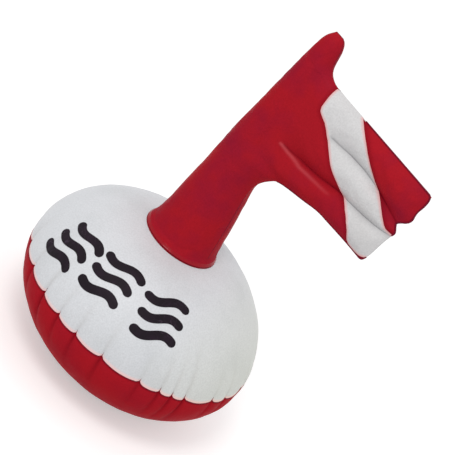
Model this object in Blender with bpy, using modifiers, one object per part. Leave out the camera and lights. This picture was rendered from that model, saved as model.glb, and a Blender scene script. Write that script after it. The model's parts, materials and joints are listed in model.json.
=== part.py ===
"""Dive flag float: a round inflatable float with a cone-shaped air mast and an air-filled flag.

The hull is two PVC sheets, white above and red below, joined at a puckered seam round the rim.
The mast and flag are two red sheets welded round their outline, with a white diagonal on each face.
Each air chamber has a push-in valve, and a tow ring is held under the bottom.
X points along the flag, Z points up, and the float stands on the flat ring under its hull.
"""

import math

import bmesh
import bpy
from mathutils import Matrix, Vector
from mathutils.bvhtree import BVHTree

# Sheets and clearances, in metres
SHEET = 0.0005
GAP = 0.0003
SEAM_GAP = 0.0006
OVERRUN = 0.004

# Hull
HULL_RADIUS = 0.210
UPPER_RISE = 0.1466
SEAM_HEIGHT = 0.127
LOWER_DROP_SHARE = 1.0984
LOWER_DROP = SEAM_HEIGHT * LOWER_DROP_SHARE
HULL_LEAN = 0.12
LEAN_AZIMUTH = math.radians(27.0)
UPPER_ROW_ANGLES = (12.0, 26.0, 42.0, 58.0)
LOWER_ROW_ANGLES = (12.0, 26.0, 42.0, 56.0)
SEAT_RADIUS = 0.060
SEAT_RISE = 0.133
SEAT_CROWN = 0.0025
SEAT_CORE_RADIUS = 0.030

# Puckers round the rim: lobe widths as shares of a turn, the first ones as the photo shows them
LOBE_WIDTH_SHARES = (
    17.0, 15.2, 12.3, 11.0, 14.3, 19.1, 9.9, 6.2, 6.6, 16.6, 9.2, 15.6, 12.0, 16.0,
    11.0, 14.0, 18.0, 10.0, 13.0, 17.0, 12.0, 15.0, 9.0, 14.0, 16.0, 13.0, 17.0,
)
LOBE_START = math.radians(-131.0)
STEPS_PER_LOBE = 3
PUCKER_DEPTH = 0.005
PUCKER_SAG = 0.007
PUCKER_REACH = 0.085
LARGEST_LOBE_SHARE = 1.25

# Foot ring and the hollow above it that keeps the tow ring off the ground
FOOT_OUTER_RADIUS = 0.088
FOOT_INNER_RADIUS = 0.064
HOLLOW_RADIUS = 0.040
HOLLOW_HEIGHT = 0.014

# Joining tape inside the rim
TAPE_HALF_WIDTH = 0.008
TAPE_SEAT = 0.0006

# Mast
MAST_HEIGHT = 0.4145
MAST_BASE_RADIUS = 0.0575
MAST_BASE_SHIFT = 0.007
MAST_TIP_HALF_WIDTH = 0.008
COLLAR_BEAD_RADIUS = 0.0036
COLLAR_STEPS = 10
FLOOR_DISC_MARGIN = 0.0076
TURN_STEPS = 40
MAST_COLUMN_ANGLES = (180.0, 165.0, 150.0, 135.0, 120.0, 105.0, 90.0, 75.0, 60.0, 45.0, 22.5, 0.0)
WEB_COLUMN = 9
CRISP_ANGLE = math.radians(40.0)

# Mast profile as shares: height, then radius, then how far the centre stands over
MAST_PROFILE_SHARES = (
    (0.000, 1.000, 1.00), (0.040, 0.985, 1.00), (0.100, 0.940, 1.00), (0.172, 0.887, 0.80),
    (0.244, 0.826, 0.56), (0.309, 0.774, 0.31), (0.364, 0.730, 0.14), (0.405, 0.704, 0.05),
    (0.439, 0.687, 0.00), (0.473, 0.670, 0.00), (0.565, 0.609, 0.00), (0.740, 0.505, 0.00),
    (0.863, 0.409, 0.00), (0.881, 0.391, 0.00), (0.922, 0.358, 0.00), (0.955, 0.320, 0.00),
    (0.977, 0.265, 0.00), (0.992, 0.180, 0.00),
)
LOWER_MAST_ROW_SHARES = (0.000, 0.040, 0.100, 0.172, 0.244, 0.309, 0.364, 0.405, 0.439)
UPPER_MAST_ROW_SHARES = (0.872, 0.890, 0.922, 0.955, 0.977, 0.992)
# Where the right edge flares into the flag: mast height share, then edge share of FLAG_REACH
FLARE_SHARES = ((0.364, 0.162), (0.405, 0.187), (0.439, 0.227), (0.872, 0.122), (0.890, 0.086))

# Flag: reach from the mast axis to the fly, and the heights of its two edges
FLAG_REACH = 0.278
FLAG_BOTTOM = 0.4764
FLAG_HEIGHT = 0.1430
TUBE_HALF_THICKNESS = 0.0140
TUBE_FULLNESS_SHARE = 0.27
FLY_ROUNDING = 0.030
WEB_START_SHARE = 0.086
WEB_SHARES = (0.158, 0.245)
BOTTOM_CORNER_SHARE = 0.259
TOP_CORNER_SHARES = (0.130, 0.190)
CORNER_FULLNESS_SHARE = 0.6
SWELL_POWER, FLY_POWER = 0.65, 0.5
FLAG_COLUMN_SHARES = (0.14, 0.29, 0.44, 0.59, 0.73, 0.85, 0.94, 1.0)
# Edges and welds: share of FLAG_REACH, then share of FLAG_HEIGHT above FLAG_BOTTOM
BOTTOM_EDGE_SHARES = (
    (0.086, -0.130), (0.180, -0.150), (0.259, -0.170), (0.378, -0.108), (0.493, -0.066),
    (0.543, -0.029), (0.683, -0.017), (0.813, 0.000), (1.000, 0.000),
)
LOWER_WELD_SHARES = (
    (0.122, 0.200), (0.216, 0.190), (0.302, 0.190), (0.432, 0.222), (0.513, 0.262),
    (0.576, 0.305), (0.727, 0.365), (0.853, 0.395), (0.968, 0.431),
)
UPPER_WELD_SHARES = (
    (0.108, 0.634), (0.306, 0.641), (0.453, 0.648), (0.637, 0.662), (0.780, 0.615),
    (0.932, 0.550),
)
TOP_EDGE_SHARES = ((0.086, 0.985), (0.190, 1.000), (1.000, 1.000))
WELD_START_SHARES = (0.130, 0.310)
WELD_RUN_IN_SHARE = 0.11
TUBE_STEP_SHARES = (0.0, 0.25, 0.5, 0.75)
FLY_SHARES = (
    0.935, 0.942, 0.953, 0.964, 0.968, 0.975, 0.960, 0.942, 0.932, 0.996, 1.000, 1.000, 0.990,
)

# White diagonal: both its long edges as a point and a slope, and the upright cut by the mast
STRIPE_SHEET = 0.0004
STRIPE_MAST_EDGE_SHARE = 0.214
STRIPE_LEFT_SHARES = ((0.273, 0.650), (0.809, 0.000))
STRIPE_RIGHT_SHARES = ((0.414, 1.000), (0.906, 0.413))
STRIPE_MARGIN = 0.002
STRIPE_MIDDLE_SHARES = (0.5, 0.6)

# Valves
VALVE_FLANGE_RADIUS = 0.019
VALVE_FLANGE_SHEET = 0.0008
VALVE_BORE_RADIUS = 0.0108
VALVE_SLEEVE_WALL = 0.0008
VALVE_SLEEVE_DEPTH = 0.0125
VALVE_HOLE_CLEARANCE = 0.0004
VALVE_STEPS = 24
STEM_RADIUS = 0.0065
STEM_BORE_RADIUS = 0.0042
STEM_RISE = 0.0012
STEM_LIP_RADIUS = 0.0075
STEM_LIP_THICKNESS = 0.001
STEM_LENGTH = 0.012
STEM_FOOT_THICKNESS = 0.001
STEM_FOOT_CLEARANCE = 0.0004
PLUG_HEAD_THICKNESS = 0.0018
PLUG_EDGE = 0.0006
PLUG_PEG_ROOT_RADIUS = 0.0036
PLUG_PEG_TIP_RADIUS = 0.0024
PLUG_PEG_LENGTH = 0.005
PLUG_HINGE_OFFSET = 0.009
PLUG_HINGE_RADIUS = 0.0006
STRAP_WIDTH = 0.004
STRAP_THICKNESS = 0.001
EAR_WIDTH = 0.005
EAR_REACH = 0.0098
FLAP_RADIUS = 0.0054
FLAP_THICKNESS = 0.0007
FLAP_HINGE_OFFSET = 0.0058
HULL_VALVE_AZIMUTH = math.radians(112.0)
HULL_VALVE_RADIUS = 0.158
HULL_VALVE_RISE = 0.096
MAST_VALVE_HEIGHT = 0.105

# Tow ring, its keeper and the patch that carries both
PATCH_RADIUS = 0.036
PATCH_SHEET = 0.001
KEEPER_SHEET = 0.0012
KEEPER_WIDTH = 0.020
KEEPER_WING = 0.014
RING_WIRE_RADIUS = 0.002
RING_CLEARANCE = 0.0006
RING_HALF_WIDTH = 0.017
RING_REACH = 0.028
RING_SIDE = 0.011
RING_FLOOR_GAP = 0.0004
RING_BEND_STEPS = 12
TUNNEL_STEPS = 8
MERGE_SHARE = 0.1

parts = bpy.data.collections.new("dive_flag_float")
cutters = bpy.data.collections.new("cutters")


def clear_scene():
    for old in list(bpy.data.objects):
        bpy.data.objects.remove(old)
    for collection in (parts, cutters):
        bpy.context.scene.collection.children.link(collection)


def srgb(red, green, blue):
    """A colour given in 0 to 255 screen values, as the linear values a shader takes."""
    def linear(value):
        value /= 255.0
        return value / 12.92 if value <= 0.04045 else ((value + 0.055) / 1.055) ** 2.4
    return (linear(red), linear(green), linear(blue), 1.0)


def material(name, colour, roughness, metallic=0.0, transmission=0.0):
    made = bpy.data.materials.get(name)
    if made is None:
        made = bpy.data.materials.new(name)
        made.use_nodes = True
        shader = made.node_tree.nodes["Principled BSDF"]
        shader.inputs["Base Color"].default_value = colour
        shader.inputs["Roughness"].default_value = roughness
        shader.inputs["Metallic"].default_value = metallic
        shader.inputs["Transmission Weight"].default_value = transmission
        made.diffuse_color = colour
    return made


def white_pvc():
    return material("white_pvc", srgb(221, 222, 225), 0.42)


def red_pvc():
    return material("red_pvc", srgb(160, 26, 38), 0.40)


def clear_pvc():
    return material("clear_pvc", srgb(205, 214, 226), 0.25, transmission=0.3)


def ring_steel():
    return material("ring_steel", srgb(190, 190, 188), 0.3, metallic=1.0)


def keep(name, mesh, surface, parent=None, collection=parts):
    """Adds an object for a mesh, with its material and its parent."""
    made = bpy.data.objects.new(name, mesh)
    collection.objects.link(made)
    made.parent = parent
    if surface is not None:
        mesh.materials.clear()
        mesh.materials.append(surface)
    return made


def mesh_from(bm, name, smooth=True):
    mesh = bpy.data.meshes.new(name)
    bm.to_mesh(mesh)
    bm.free()
    if smooth:
        mesh.shade_smooth()
        mesh.set_sharp_from_angle(angle=CRISP_ANGLE)
    return mesh


def evaluated_mesh(holder):
    """The object's mesh with its modifiers worked in, in the object's own coordinates."""
    graph = bpy.context.evaluated_depsgraph_get()
    graph.update()
    return bpy.data.meshes.new_from_object(holder.evaluated_get(graph))


def solidify(holder, thickness, offset):
    wall = holder.modifiers.new("wall", "SOLIDIFY")
    wall.thickness = thickness
    wall.offset = offset
    wall.use_even_offset = True
    return wall


def boolean(holder, cutter, operation):
    step = holder.modifiers.new(operation.lower(), "BOOLEAN")
    step.operation = operation
    step.object = cutter
    step.solver = "EXACT"
    return step


def turned_mesh(name, profile, steps, closed):
    """A profile of (radius, height) points turned once round Z with a Screw modifier."""
    bm = bmesh.new()
    points = [bm.verts.new((radius, 0.0, height)) for radius, height in profile]
    for start, end in zip(points, points[1:]):
        bm.edges.new((start, end))
    if closed:
        bm.edges.new((points[-1], points[0]))
    mesh = bpy.data.meshes.new(name)
    bm.to_mesh(mesh)
    bm.free()
    holder = bpy.data.objects.new(name + "_profile", mesh)
    parts.objects.link(holder)
    screw = holder.modifiers.new("turn", "SCREW")
    screw.steps = steps
    screw.render_steps = steps
    screw.use_merge_vertices = True
    screw.merge_threshold = 0.00001
    made = evaluated_mesh(holder)
    bpy.data.objects.remove(holder)
    made.name = name
    return made


def cutter_cylinder(name, radius, low, high, frame, steps=VALVE_STEPS):
    """A hidden cylinder along the local Z of a frame, for Boolean steps."""
    bm = bmesh.new()
    bmesh.ops.create_cone(
        bm, cap_ends=True, segments=steps, radius1=radius, radius2=radius, depth=high - low,
    )
    bmesh.ops.translate(bm, verts=bm.verts, vec=(0.0, 0.0, (low + high) / 2.0))
    bm.transform(frame)
    cutter = keep(name, mesh_from(bm, name, smooth=False), None, datum, cutters)
    cutter.hide_render = True
    cutter.display_type = "WIRE"
    return cutter


def cutter_box(name, low, high, frame):
    """A hidden box between two corners of a frame, for Boolean steps."""
    bm = bmesh.new()
    bmesh.ops.create_cube(bm, size=1.0)
    low, high = Vector(low), Vector(high)
    size = high - low
    bm.transform(Matrix.Translation((low + high) / 2.0) @ Matrix.Diagonal((*size, 1.0)))
    bm.transform(frame)
    cutter = keep(name, mesh_from(bm, name, smooth=False), None, datum, cutters)
    cutter.hide_render = True
    cutter.display_type = "WIRE"
    return cutter


def offset_skin(bm, distance):
    """Moves an open skin outwards so that its flats all move by the same distance."""
    bm.normal_update()
    moves = [vert.normal * distance * vert.calc_shell_factor() for vert in bm.verts]
    for vert, move in zip(bm.verts, moves):
        vert.co += move


def along(table, share):
    """A value read from a table of (share, value) rows, straight between its rows."""
    if share <= table[0][0]:
        return table[0][1]
    for (start, low), (end, high) in zip(table, table[1:]):
        if share <= end:
            return low + (high - low) * (share - start) / (end - start)
    return table[-1][1]


def ease(value):
    value = min(max(value, 0.0), 1.0)
    return value * value * (3.0 - 2.0 * value)


# Hull

LOBE_COUNT = len(LOBE_WIDTH_SHARES)
HULL_STEPS = LOBE_COUNT * STEPS_PER_LOBE
LEAN_WAY = Vector((-math.cos(LEAN_AZIMUTH), -math.sin(LEAN_AZIMUTH), 0.0))
HULL_CENTRE = Vector((MAST_BASE_SHIFT, 0.0, 0.0)) - LEAN_WAY * HULL_LEAN * SEAT_RISE


def arch(share):
    """A low arch over a stretch: nothing at both ends, one in the middle."""
    return 4.0 * share * (1.0 - share)


def lobe_at(step):
    """The azimuth of a step round the rim, how far it bows, and the size of its lobe."""
    lobe, part = divmod(step % HULL_STEPS, STEPS_PER_LOBE)
    whole = sum(LOBE_WIDTH_SHARES)
    share = part / STEPS_PER_LOBE
    turned = sum(LOBE_WIDTH_SHARES[:lobe]) + LOBE_WIDTH_SHARES[lobe] * share
    size = LOBE_WIDTH_SHARES[lobe] * LOBE_COUNT / whole
    if part == 0:
        size = (size + LOBE_WIDTH_SHARES[lobe - 1] * LOBE_COUNT / whole) / 2.0
    return LOBE_START + math.tau * turned / whole, arch(share), min(size, LARGEST_LOBE_SHARE)


def hull_point(radius, rise, step):
    """A point of the hull's outer skin, from its place on the profile, measured from the seam."""
    azimuth, bow, size = lobe_at(step)
    fade = max(0.0, 1.0 - abs(rise) / PUCKER_REACH) ** 2
    radius -= PUCKER_DEPTH * size * (1.0 - bow) * fade
    height = rise + PUCKER_SAG * size * (0.5 - bow) * fade
    centre = HULL_CENTRE + LEAN_WAY * HULL_LEAN * rise
    place = centre + Vector((math.cos(azimuth), math.sin(azimuth), 0.0)) * radius
    place.z = SEAM_HEIGHT + height
    return place


def upper_profile():
    rows = [(SEAT_CORE_RADIUS, SEAT_RISE + SEAT_CROWN), (SEAT_RADIUS, SEAT_RISE)]
    for angle in reversed(UPPER_ROW_ANGLES):
        turn = math.radians(angle)
        rows.append((HULL_RADIUS * math.cos(turn), UPPER_RISE * math.sin(turn)))
    rows.append((HULL_RADIUS, 0.0))
    return rows


def lower_profile():
    rows = [(HULL_RADIUS, 0.0)]
    for angle in LOWER_ROW_ANGLES:
        turn = math.radians(angle)
        rows.append((HULL_RADIUS * math.cos(turn), -LOWER_DROP * math.sin(turn)))
    rows.append((FOOT_OUTER_RADIUS, -SEAM_HEIGHT))
    rows.append((FOOT_INNER_RADIUS, -SEAM_HEIGHT))
    rows.append((HOLLOW_RADIUS, HOLLOW_HEIGHT - SEAM_HEIGHT))
    return rows


def dome_height(radius):
    """The height of the white panel near its crown, read along its flat facets."""
    rows = sorted(upper_profile())
    return SEAM_HEIGHT + along(rows, radius)


def hull_skin(name, profile, lift):
    """Turns a hull profile, puckers it, and closes its middle with one flat face."""
    bm = bmesh.new()
    bm.from_mesh(turned_mesh(name, profile, HULL_STEPS, closed=False))
    for vert in bm.verts:
        row = min(profile, key=lambda place: math.hypot(
            place[0] - math.hypot(vert.co.x, vert.co.y), place[1] - vert.co.z))
        step = round(math.atan2(vert.co.y, vert.co.x) * HULL_STEPS / math.tau) % HULL_STEPS
        vert.co = hull_point(row[0], row[1], step)
        if row[1] == 0.0:
            vert.co.z += lift
    rims = [edge for edge in bm.edges if edge.is_boundary]
    middle = min(math.hypot(*(edge.verts[0].co - HULL_CENTRE).xy) for edge in rims)
    inner = [edge for edge in rims
             if math.hypot(*(edge.verts[0].co - HULL_CENTRE).xy) < middle + HOLLOW_RADIUS]
    bmesh.ops.edgeloop_fill(bm, edges=inner)
    bmesh.ops.recalc_face_normals(bm, faces=bm.faces)
    outward = max(bm.faces, key=lambda face: face.calc_center_median().x)
    if outward.normal.x < 0.0:
        bmesh.ops.reverse_faces(bm, faces=bm.faces)
    bmesh.ops.triangulate(bm, faces=bm.faces)
    return bm


def hull_panels():
    upper = hull_skin("upper_hull_panel", upper_profile(), SEAM_GAP / 2.0)
    skin = upper.copy()
    top = keep("upper_hull_panel", mesh_from(upper, "upper_hull_panel"), white_pvc(), datum)
    solidify(top, SHEET, -1.0)
    lower = hull_skin("lower_hull_panel", lower_profile(), -SEAM_GAP / 2.0)
    bottom = keep("lower_hull_panel", mesh_from(lower, "lower_hull_panel"), red_pvc(), datum)
    solidify(bottom, SHEET, -1.0)
    return top, skin


def rim_seam_tape():
    """The band welded inside the rim, on the same facets as the two panels it joins."""
    upper_row = upper_profile()[-2]
    lower_row = lower_profile()[1]
    bm = bmesh.new()
    rings = []
    for row, sign in ((upper_row, 1.0), (None, 0.0), (lower_row, -1.0)):
        ring = []
        for step in range(HULL_STEPS):
            place = hull_point(HULL_RADIUS, 0.0, step)
            if row is not None:
                share = TAPE_HALF_WIDTH / abs(row[1])
                place = place.lerp(hull_point(row[0], row[1], step), share)
            azimuth = lobe_at(step)[0]
            inward = Vector((-math.cos(azimuth), -math.sin(azimuth), 0.0))
            ring.append(bm.verts.new(place + inward * (SHEET + GAP + TAPE_SEAT)))
        rings.append(ring)
    for above, below in zip(rings, rings[1:]):
        for step in range(HULL_STEPS):
            after = (step + 1) % HULL_STEPS
            bm.faces.new((above[step], below[step], below[after], above[after]))
    tape = keep("rim_seam_tape", mesh_from(bm, "rim_seam_tape"), white_pvc(), datum)
    solidify(tape, SHEET, -1.0)


# Mast and flag

MAST_FOOT = dome_height(MAST_BASE_RADIUS) + 2.0 * GAP + SHEET
MAST_ANGLES = [math.radians(angle) for angle in MAST_COLUMN_ANGLES]


def mast_radius(height):
    share = (height - MAST_FOOT) / MAST_HEIGHT
    return MAST_BASE_RADIUS * along([row[:2] for row in MAST_PROFILE_SHARES], share)


def mast_row(height, flare_share=None):
    """One level of the mast's back half, from left edge to right edge, or to its flare."""
    radius = mast_radius(height)
    share = (height - MAST_FOOT) / MAST_HEIGHT
    shift = MAST_BASE_SHIFT * along([(row[0], row[2]) for row in MAST_PROFILE_SHARES], share)
    reach = radius if flare_share is None else FLAG_REACH * flare_share - shift
    row = []
    for angle in MAST_ANGLES:
        side = radius + (reach - radius) * max(0.0, math.cos(angle)) ** 2
        row.append(Vector((shift + side * math.cos(angle), radius * math.sin(angle), height)))
    return row


def mast_rows(shares):
    flares = dict(FLARE_SHARES)
    return [mast_row(MAST_FOOT + MAST_HEIGHT * share, flares.get(share)) for share in shares]


def tip_row():
    """The welded end of the mast, where both sheets meet."""
    height = MAST_FOOT + MAST_HEIGHT
    return [Vector((MAST_TIP_HALF_WIDTH * math.cos(angle), 0.0, height)) for angle in MAST_ANGLES]


def flag_height(table, reach_share):
    return FLAG_BOTTOM + FLAG_HEIGHT * along(table, reach_share)


def weld_depth(reach_share, start_share, body):
    """Half the thickness on a weld line: full at the mast, nothing once the weld has begun."""
    return body * (1.0 - ease((reach_share - start_share) / WELD_RUN_IN_SHARE))


def flag_rows():
    """Thirteen lines across mast and flag, from the flag's bottom edge to its top edge."""
    edges = (BOTTOM_EDGE_SHARES, LOWER_WELD_SHARES, UPPER_WELD_SHARES, TOP_EDGE_SHARES)
    rows = [bottom_edge_row()]
    last = len(FLY_SHARES) - 1
    for number in range(1, last + 1):
        tube, step = divmod(number, len(TUBE_STEP_SHARES))
        part = TUBE_STEP_SHARES[step]
        shares = WEB_SHARES
        if number == last:
            tube, part, shares = tube - 1, 1.0, TOP_CORNER_SHARES
        fly = FLY_SHARES[number]
        spread = [shares[1] + (fly - shares[1]) * share for share in FLAG_COLUMN_SHARES]
        reaches = list(shares) + spread
        rows.append(flag_row(edges[tube], edges[tube + 1], tube, part, reaches, number == last))
    return rows


def bottom_edge_row():
    """The lowest line of the flag: round the flared mast, then out along the bottom weld."""
    row = mast_row(flag_height(BOTTOM_EDGE_SHARES, WEB_START_SHARE), BOTTOM_CORNER_SHARE)
    for share in FLAG_COLUMN_SHARES:
        reach_share = BOTTOM_CORNER_SHARE + (FLY_SHARES[0] - BOTTOM_CORNER_SHARE) * share
        row.append(Vector((FLAG_REACH * reach_share, 0.0, 0.0)))
    for place in row[WEB_COLUMN:]:
        place.z = flag_height(BOTTOM_EDGE_SHARES, place.x / FLAG_REACH)
    return row


def flag_row(low_edge, high_edge, tube, part, reach_shares, corner):
    """One line of the sheet: round the mast first, then out along the flag to the fly."""
    low = flag_height(low_edge, WEB_START_SHARE)
    high = flag_height(high_edge, WEB_START_SHARE)
    level = low + (high - low) * part
    radius = mast_radius(level)
    row = []
    for angle in MAST_ANGLES[:WEB_COLUMN + 1]:
        row.append(Vector((radius * math.cos(angle), radius * math.sin(angle), level)))
    mast_depth = row[-1].y
    fly = reach_shares[-1]
    for number, reach_share in enumerate(reach_shares):
        low = flag_height(low_edge, reach_share)
        high = flag_height(high_edge, reach_share)
        height = low + (high - low) * part
        web = ease((reach_share - WEB_START_SHARE) / (WELD_START_SHARES[1] - WEB_START_SHARE))
        full = min(TUBE_HALF_THICKNESS, TUBE_FULLNESS_SHARE * (high - low))
        body = mast_depth + (full - mast_depth) * web
        ends = [0.0, 0.0]
        if tube > 0:
            ends[0] = weld_depth(reach_share, WELD_START_SHARES[tube - 1], body)
        if tube < len(WELD_START_SHARES):
            ends[1] = weld_depth(reach_share, WELD_START_SHARES[tube], body)
        if corner and number == 0:
            ends = [body * CORNER_FULLNESS_SHARE] * len(ends)
        base = ends[0] + (ends[1] - ends[0]) * part
        depth = base + (body - base) * arch(part) ** SWELL_POWER
        near_fly = (fly - reach_share) * FLAG_REACH / FLY_ROUNDING
        depth *= min(1.0, max(0.0, near_fly)) ** FLY_POWER
        row.append(Vector((FLAG_REACH * reach_share, depth, height)))
    return row


def sheet_skin(side):
    """The front (side -1) or back (side +1) sheet of mast and flag as one open skin."""
    bm = bmesh.new()

    def row_verts(points):
        return [bm.verts.new((place.x, side * (place.y + GAP / 2.0), place.z)) for place in points]

    def join(below, above):
        for (left, right), (up_left, up_right) in zip(zip(below, below[1:]), zip(above, above[1:])):
            bm.faces.new((left, right, up_right, up_left))

    mast_low = [row_verts(points) for points in mast_rows(LOWER_MAST_ROW_SHARES)]
    flag = [row_verts(points) for points in flag_rows()]
    mast_high = [row_verts(points) for points in mast_rows(UPPER_MAST_ROW_SHARES)]
    mast_high.append(row_verts(tip_row()))
    columns = len(MAST_ANGLES)
    for below, above in zip(mast_low, mast_low[1:]):
        join(below, above)
    join(mast_low[-1], flag[0][:columns])
    for below, above in zip(flag, flag[1:]):
        join(below, above)
    join(flag[-1][:columns], mast_high[0])
    for below, above in zip(mast_high, mast_high[1:]):
        join(below, above)
    if side > 0.0:
        bmesh.ops.reverse_faces(bm, faces=bm.faces)
    bmesh.ops.triangulate(bm, faces=bm.faces)
    bm.normal_update()
    return bm


def mast_sheets():
    skins = {}
    made = {}
    for name, side in (("mast_front_sheet", -1.0), ("mast_back_sheet", 1.0)):
        bm = sheet_skin(side)
        skins[side] = bm.copy()
        sheet = keep(name, mesh_from(bm, name), red_pvc(), datum)
        solidify(sheet, SHEET, 1.0)
        made[side] = sheet
    return made, skins


def flag_point(reach_share, height_share, depth=0.0):
    return Vector((FLAG_REACH * reach_share, depth, FLAG_BOTTOM + FLAG_HEIGHT * height_share))


def cut_away(bm, start, end, keep_point):
    """Cuts a skin along an upright plane through two flag points, keeping one side."""
    normal = (end - start).cross(Vector((0.0, 1.0, 0.0))).normalized()
    if (keep_point - start).dot(normal) < 0.0:
        normal.negate()
    bmesh.ops.bisect_plane(
        bm, geom=list(bm.verts) + list(bm.edges) + list(bm.faces), dist=0.0,
        plane_co=start, plane_no=normal, clear_inner=True,
    )


def flag_stripes(skins):
    """The white diagonal on each face, cut from a copy of the sheet that it lies on."""
    made = {}
    inside = flag_point(*STRIPE_MIDDLE_SHARES)
    low_left, low_right = flag_point(*STRIPE_LEFT_SHARES[0]), flag_point(*STRIPE_LEFT_SHARES[1])
    top_left, top_right = flag_point(*STRIPE_RIGHT_SHARES[0]), flag_point(*STRIPE_RIGHT_SHARES[1])
    mast_edge = flag_point(STRIPE_MAST_EDGE_SHARE, 0.0)
    for name, side in (("flag_stripe_front", -1.0), ("flag_stripe_back", 1.0)):
        bm = skins[side].copy()
        offset_skin(bm, SHEET + GAP)
        cut_away(bm, low_left, low_right, inside)
        cut_away(bm, top_left, top_right, inside)
        cut_away(bm, mast_edge, flag_point(STRIPE_MAST_EDGE_SHARE, 1.0), inside)
        top = flag_point(0.0, 1.0) - Vector((0.0, 0.0, STRIPE_MARGIN))
        cut_away(bm, top, top + Vector((FLAG_REACH, 0.0, 0.0)), inside)
        bottom = flag_point(0.0, 0.0) + Vector((0.0, 0.0, STRIPE_MARGIN))
        cut_away(bm, bottom, bottom + Vector((FLAG_REACH, 0.0, 0.0)), inside)
        fly_low = flag_point(FLY_SHARES[0], 0.0) - Vector((STRIPE_MARGIN, 0.0, 0.0))
        fly_high = flag_point(FLY_SHARES[len(TUBE_STEP_SHARES)], LOWER_WELD_SHARES[-1][1])
        fly_high.x -= STRIPE_MARGIN
        cut_away(bm, fly_low, fly_high, inside)
        stripe = keep(name, mesh_from(bm, name), white_pvc(), datum)
        solidify(stripe, STRIPE_SHEET, 1.0)
        made[side] = stripe
    return made


def mast_floor_disc():
    """The round sheet that closes the foot of the mast and spreads it over the hull's crown."""
    edge = MAST_BASE_RADIUS + FLOOR_DISC_MARGIN
    profile = [(radius, dome_height(radius) + GAP) for radius in (SEAT_CORE_RADIUS, SEAT_RADIUS, edge)]
    bm = bmesh.new()
    bm.from_mesh(turned_mesh("mast_floor_disc", profile, TURN_STEPS, closed=False))
    inner = [rim for rim in bm.edges if rim.is_boundary
             and math.hypot(*rim.verts[0].co.xy) < (SEAT_CORE_RADIUS + SEAT_RADIUS) / 2.0]
    bmesh.ops.edgeloop_fill(bm, edges=inner)
    bmesh.ops.recalc_face_normals(bm, faces=bm.faces)
    if max(bm.faces, key=lambda face: face.calc_area()).normal.z < 0.0:
        bmesh.ops.reverse_faces(bm, faces=bm.faces)
    follow_lean(bm)
    disc = keep("mast_floor_disc", mesh_from(bm, "mast_floor_disc"), red_pvc(), datum)
    solidify(disc, SHEET, 1.0)


def follow_lean(bm):
    """Sets a ring-shaped piece over the leaning crown, each level over the hull's own level."""
    for vert in bm.verts:
        centre = HULL_CENTRE + LEAN_WAY * HULL_LEAN * (vert.co.z - SEAM_HEIGHT)
        vert.co.x += centre.x
        vert.co.y += centre.y


def mast_base_collar():
    """The round bead that hides the weld of the mast on the hull."""
    bm = bmesh.new()
    ring_radius = MAST_BASE_RADIUS + SHEET + 2.0 * GAP + COLLAR_BEAD_RADIUS
    height = dome_height(ring_radius) + 2.0 * GAP + SHEET + COLLAR_BEAD_RADIUS
    profile = []
    for step in range(COLLAR_STEPS):
        turn = math.tau * step / COLLAR_STEPS
        profile.append((ring_radius + COLLAR_BEAD_RADIUS * math.cos(turn),
                        height - COLLAR_BEAD_RADIUS * math.sin(turn)))
    bm.from_mesh(turned_mesh("mast_base_collar", profile, TURN_STEPS, closed=True))
    bmesh.ops.recalc_face_normals(bm, faces=bm.faces)
    centre = HULL_CENTRE + LEAN_WAY * HULL_LEAN * SEAT_RISE
    bmesh.ops.translate(bm, verts=bm.verts, vec=(centre.x, centre.y, 0.0))
    keep("mast_base_collar", mesh_from(bm, "mast_base_collar"), red_pvc(), datum)


# Valves

def valve_frame(centre, outward, upward):
    """A frame with Z out of the sheet and X towards the side that the plug hinges on."""
    z_way = outward.normalized()
    x_way = (upward - z_way * upward.dot(z_way)).normalized()
    y_way = z_way.cross(x_way)
    frame = Matrix((x_way, y_way, z_way)).transposed().to_4x4()
    frame.translation = centre
    return frame


def face_span(face):
    """The length of a face's longest edge."""
    return max(edge.calc_length() for edge in face.edges)


def valve_body(name, frame, skin, standoff, sheet):
    """The flange welded on the sheet, with the sleeve that the stem sinks into."""
    bm = skin.copy()
    offset_skin(bm, standoff)
    far = []
    for face in bm.faces:
        off = (face.calc_center_median() - frame.translation).length
        if off > VALVE_FLANGE_RADIUS + face_span(face):
            far.append(face)
    bmesh.ops.delete(bm, geom=far, context="FACES")
    body = keep(name, mesh_from(bm, name), clear_pvc(), datum)
    solidify(body, VALVE_FLANGE_SHEET, 1.0)
    reach = VALVE_SLEEVE_DEPTH + OVERRUN
    disc = cutter_cylinder(
        name + "_outline", VALVE_FLANGE_RADIUS, -reach, reach, frame, 2 * VALVE_STEPS)
    sleeve = cutter_cylinder(
        name + "_sleeve", VALVE_BORE_RADIUS + VALVE_SLEEVE_WALL, -VALVE_SLEEVE_DEPTH,
        VALVE_FLANGE_SHEET / 2.0 + standoff, frame)
    bore = cutter_cylinder(name + "_bore", VALVE_BORE_RADIUS, -reach, reach, frame)
    boolean(body, disc, "INTERSECT")
    boolean(body, sleeve, "UNION")
    boolean(body, bore, "DIFFERENCE")
    hole = cutter_cylinder(
        name + "_hole", VALVE_BORE_RADIUS + VALVE_SLEEVE_WALL + VALVE_HOLE_CLEARANCE,
        -reach, reach, frame)
    boolean(sheet, hole, "DIFFERENCE")


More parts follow.
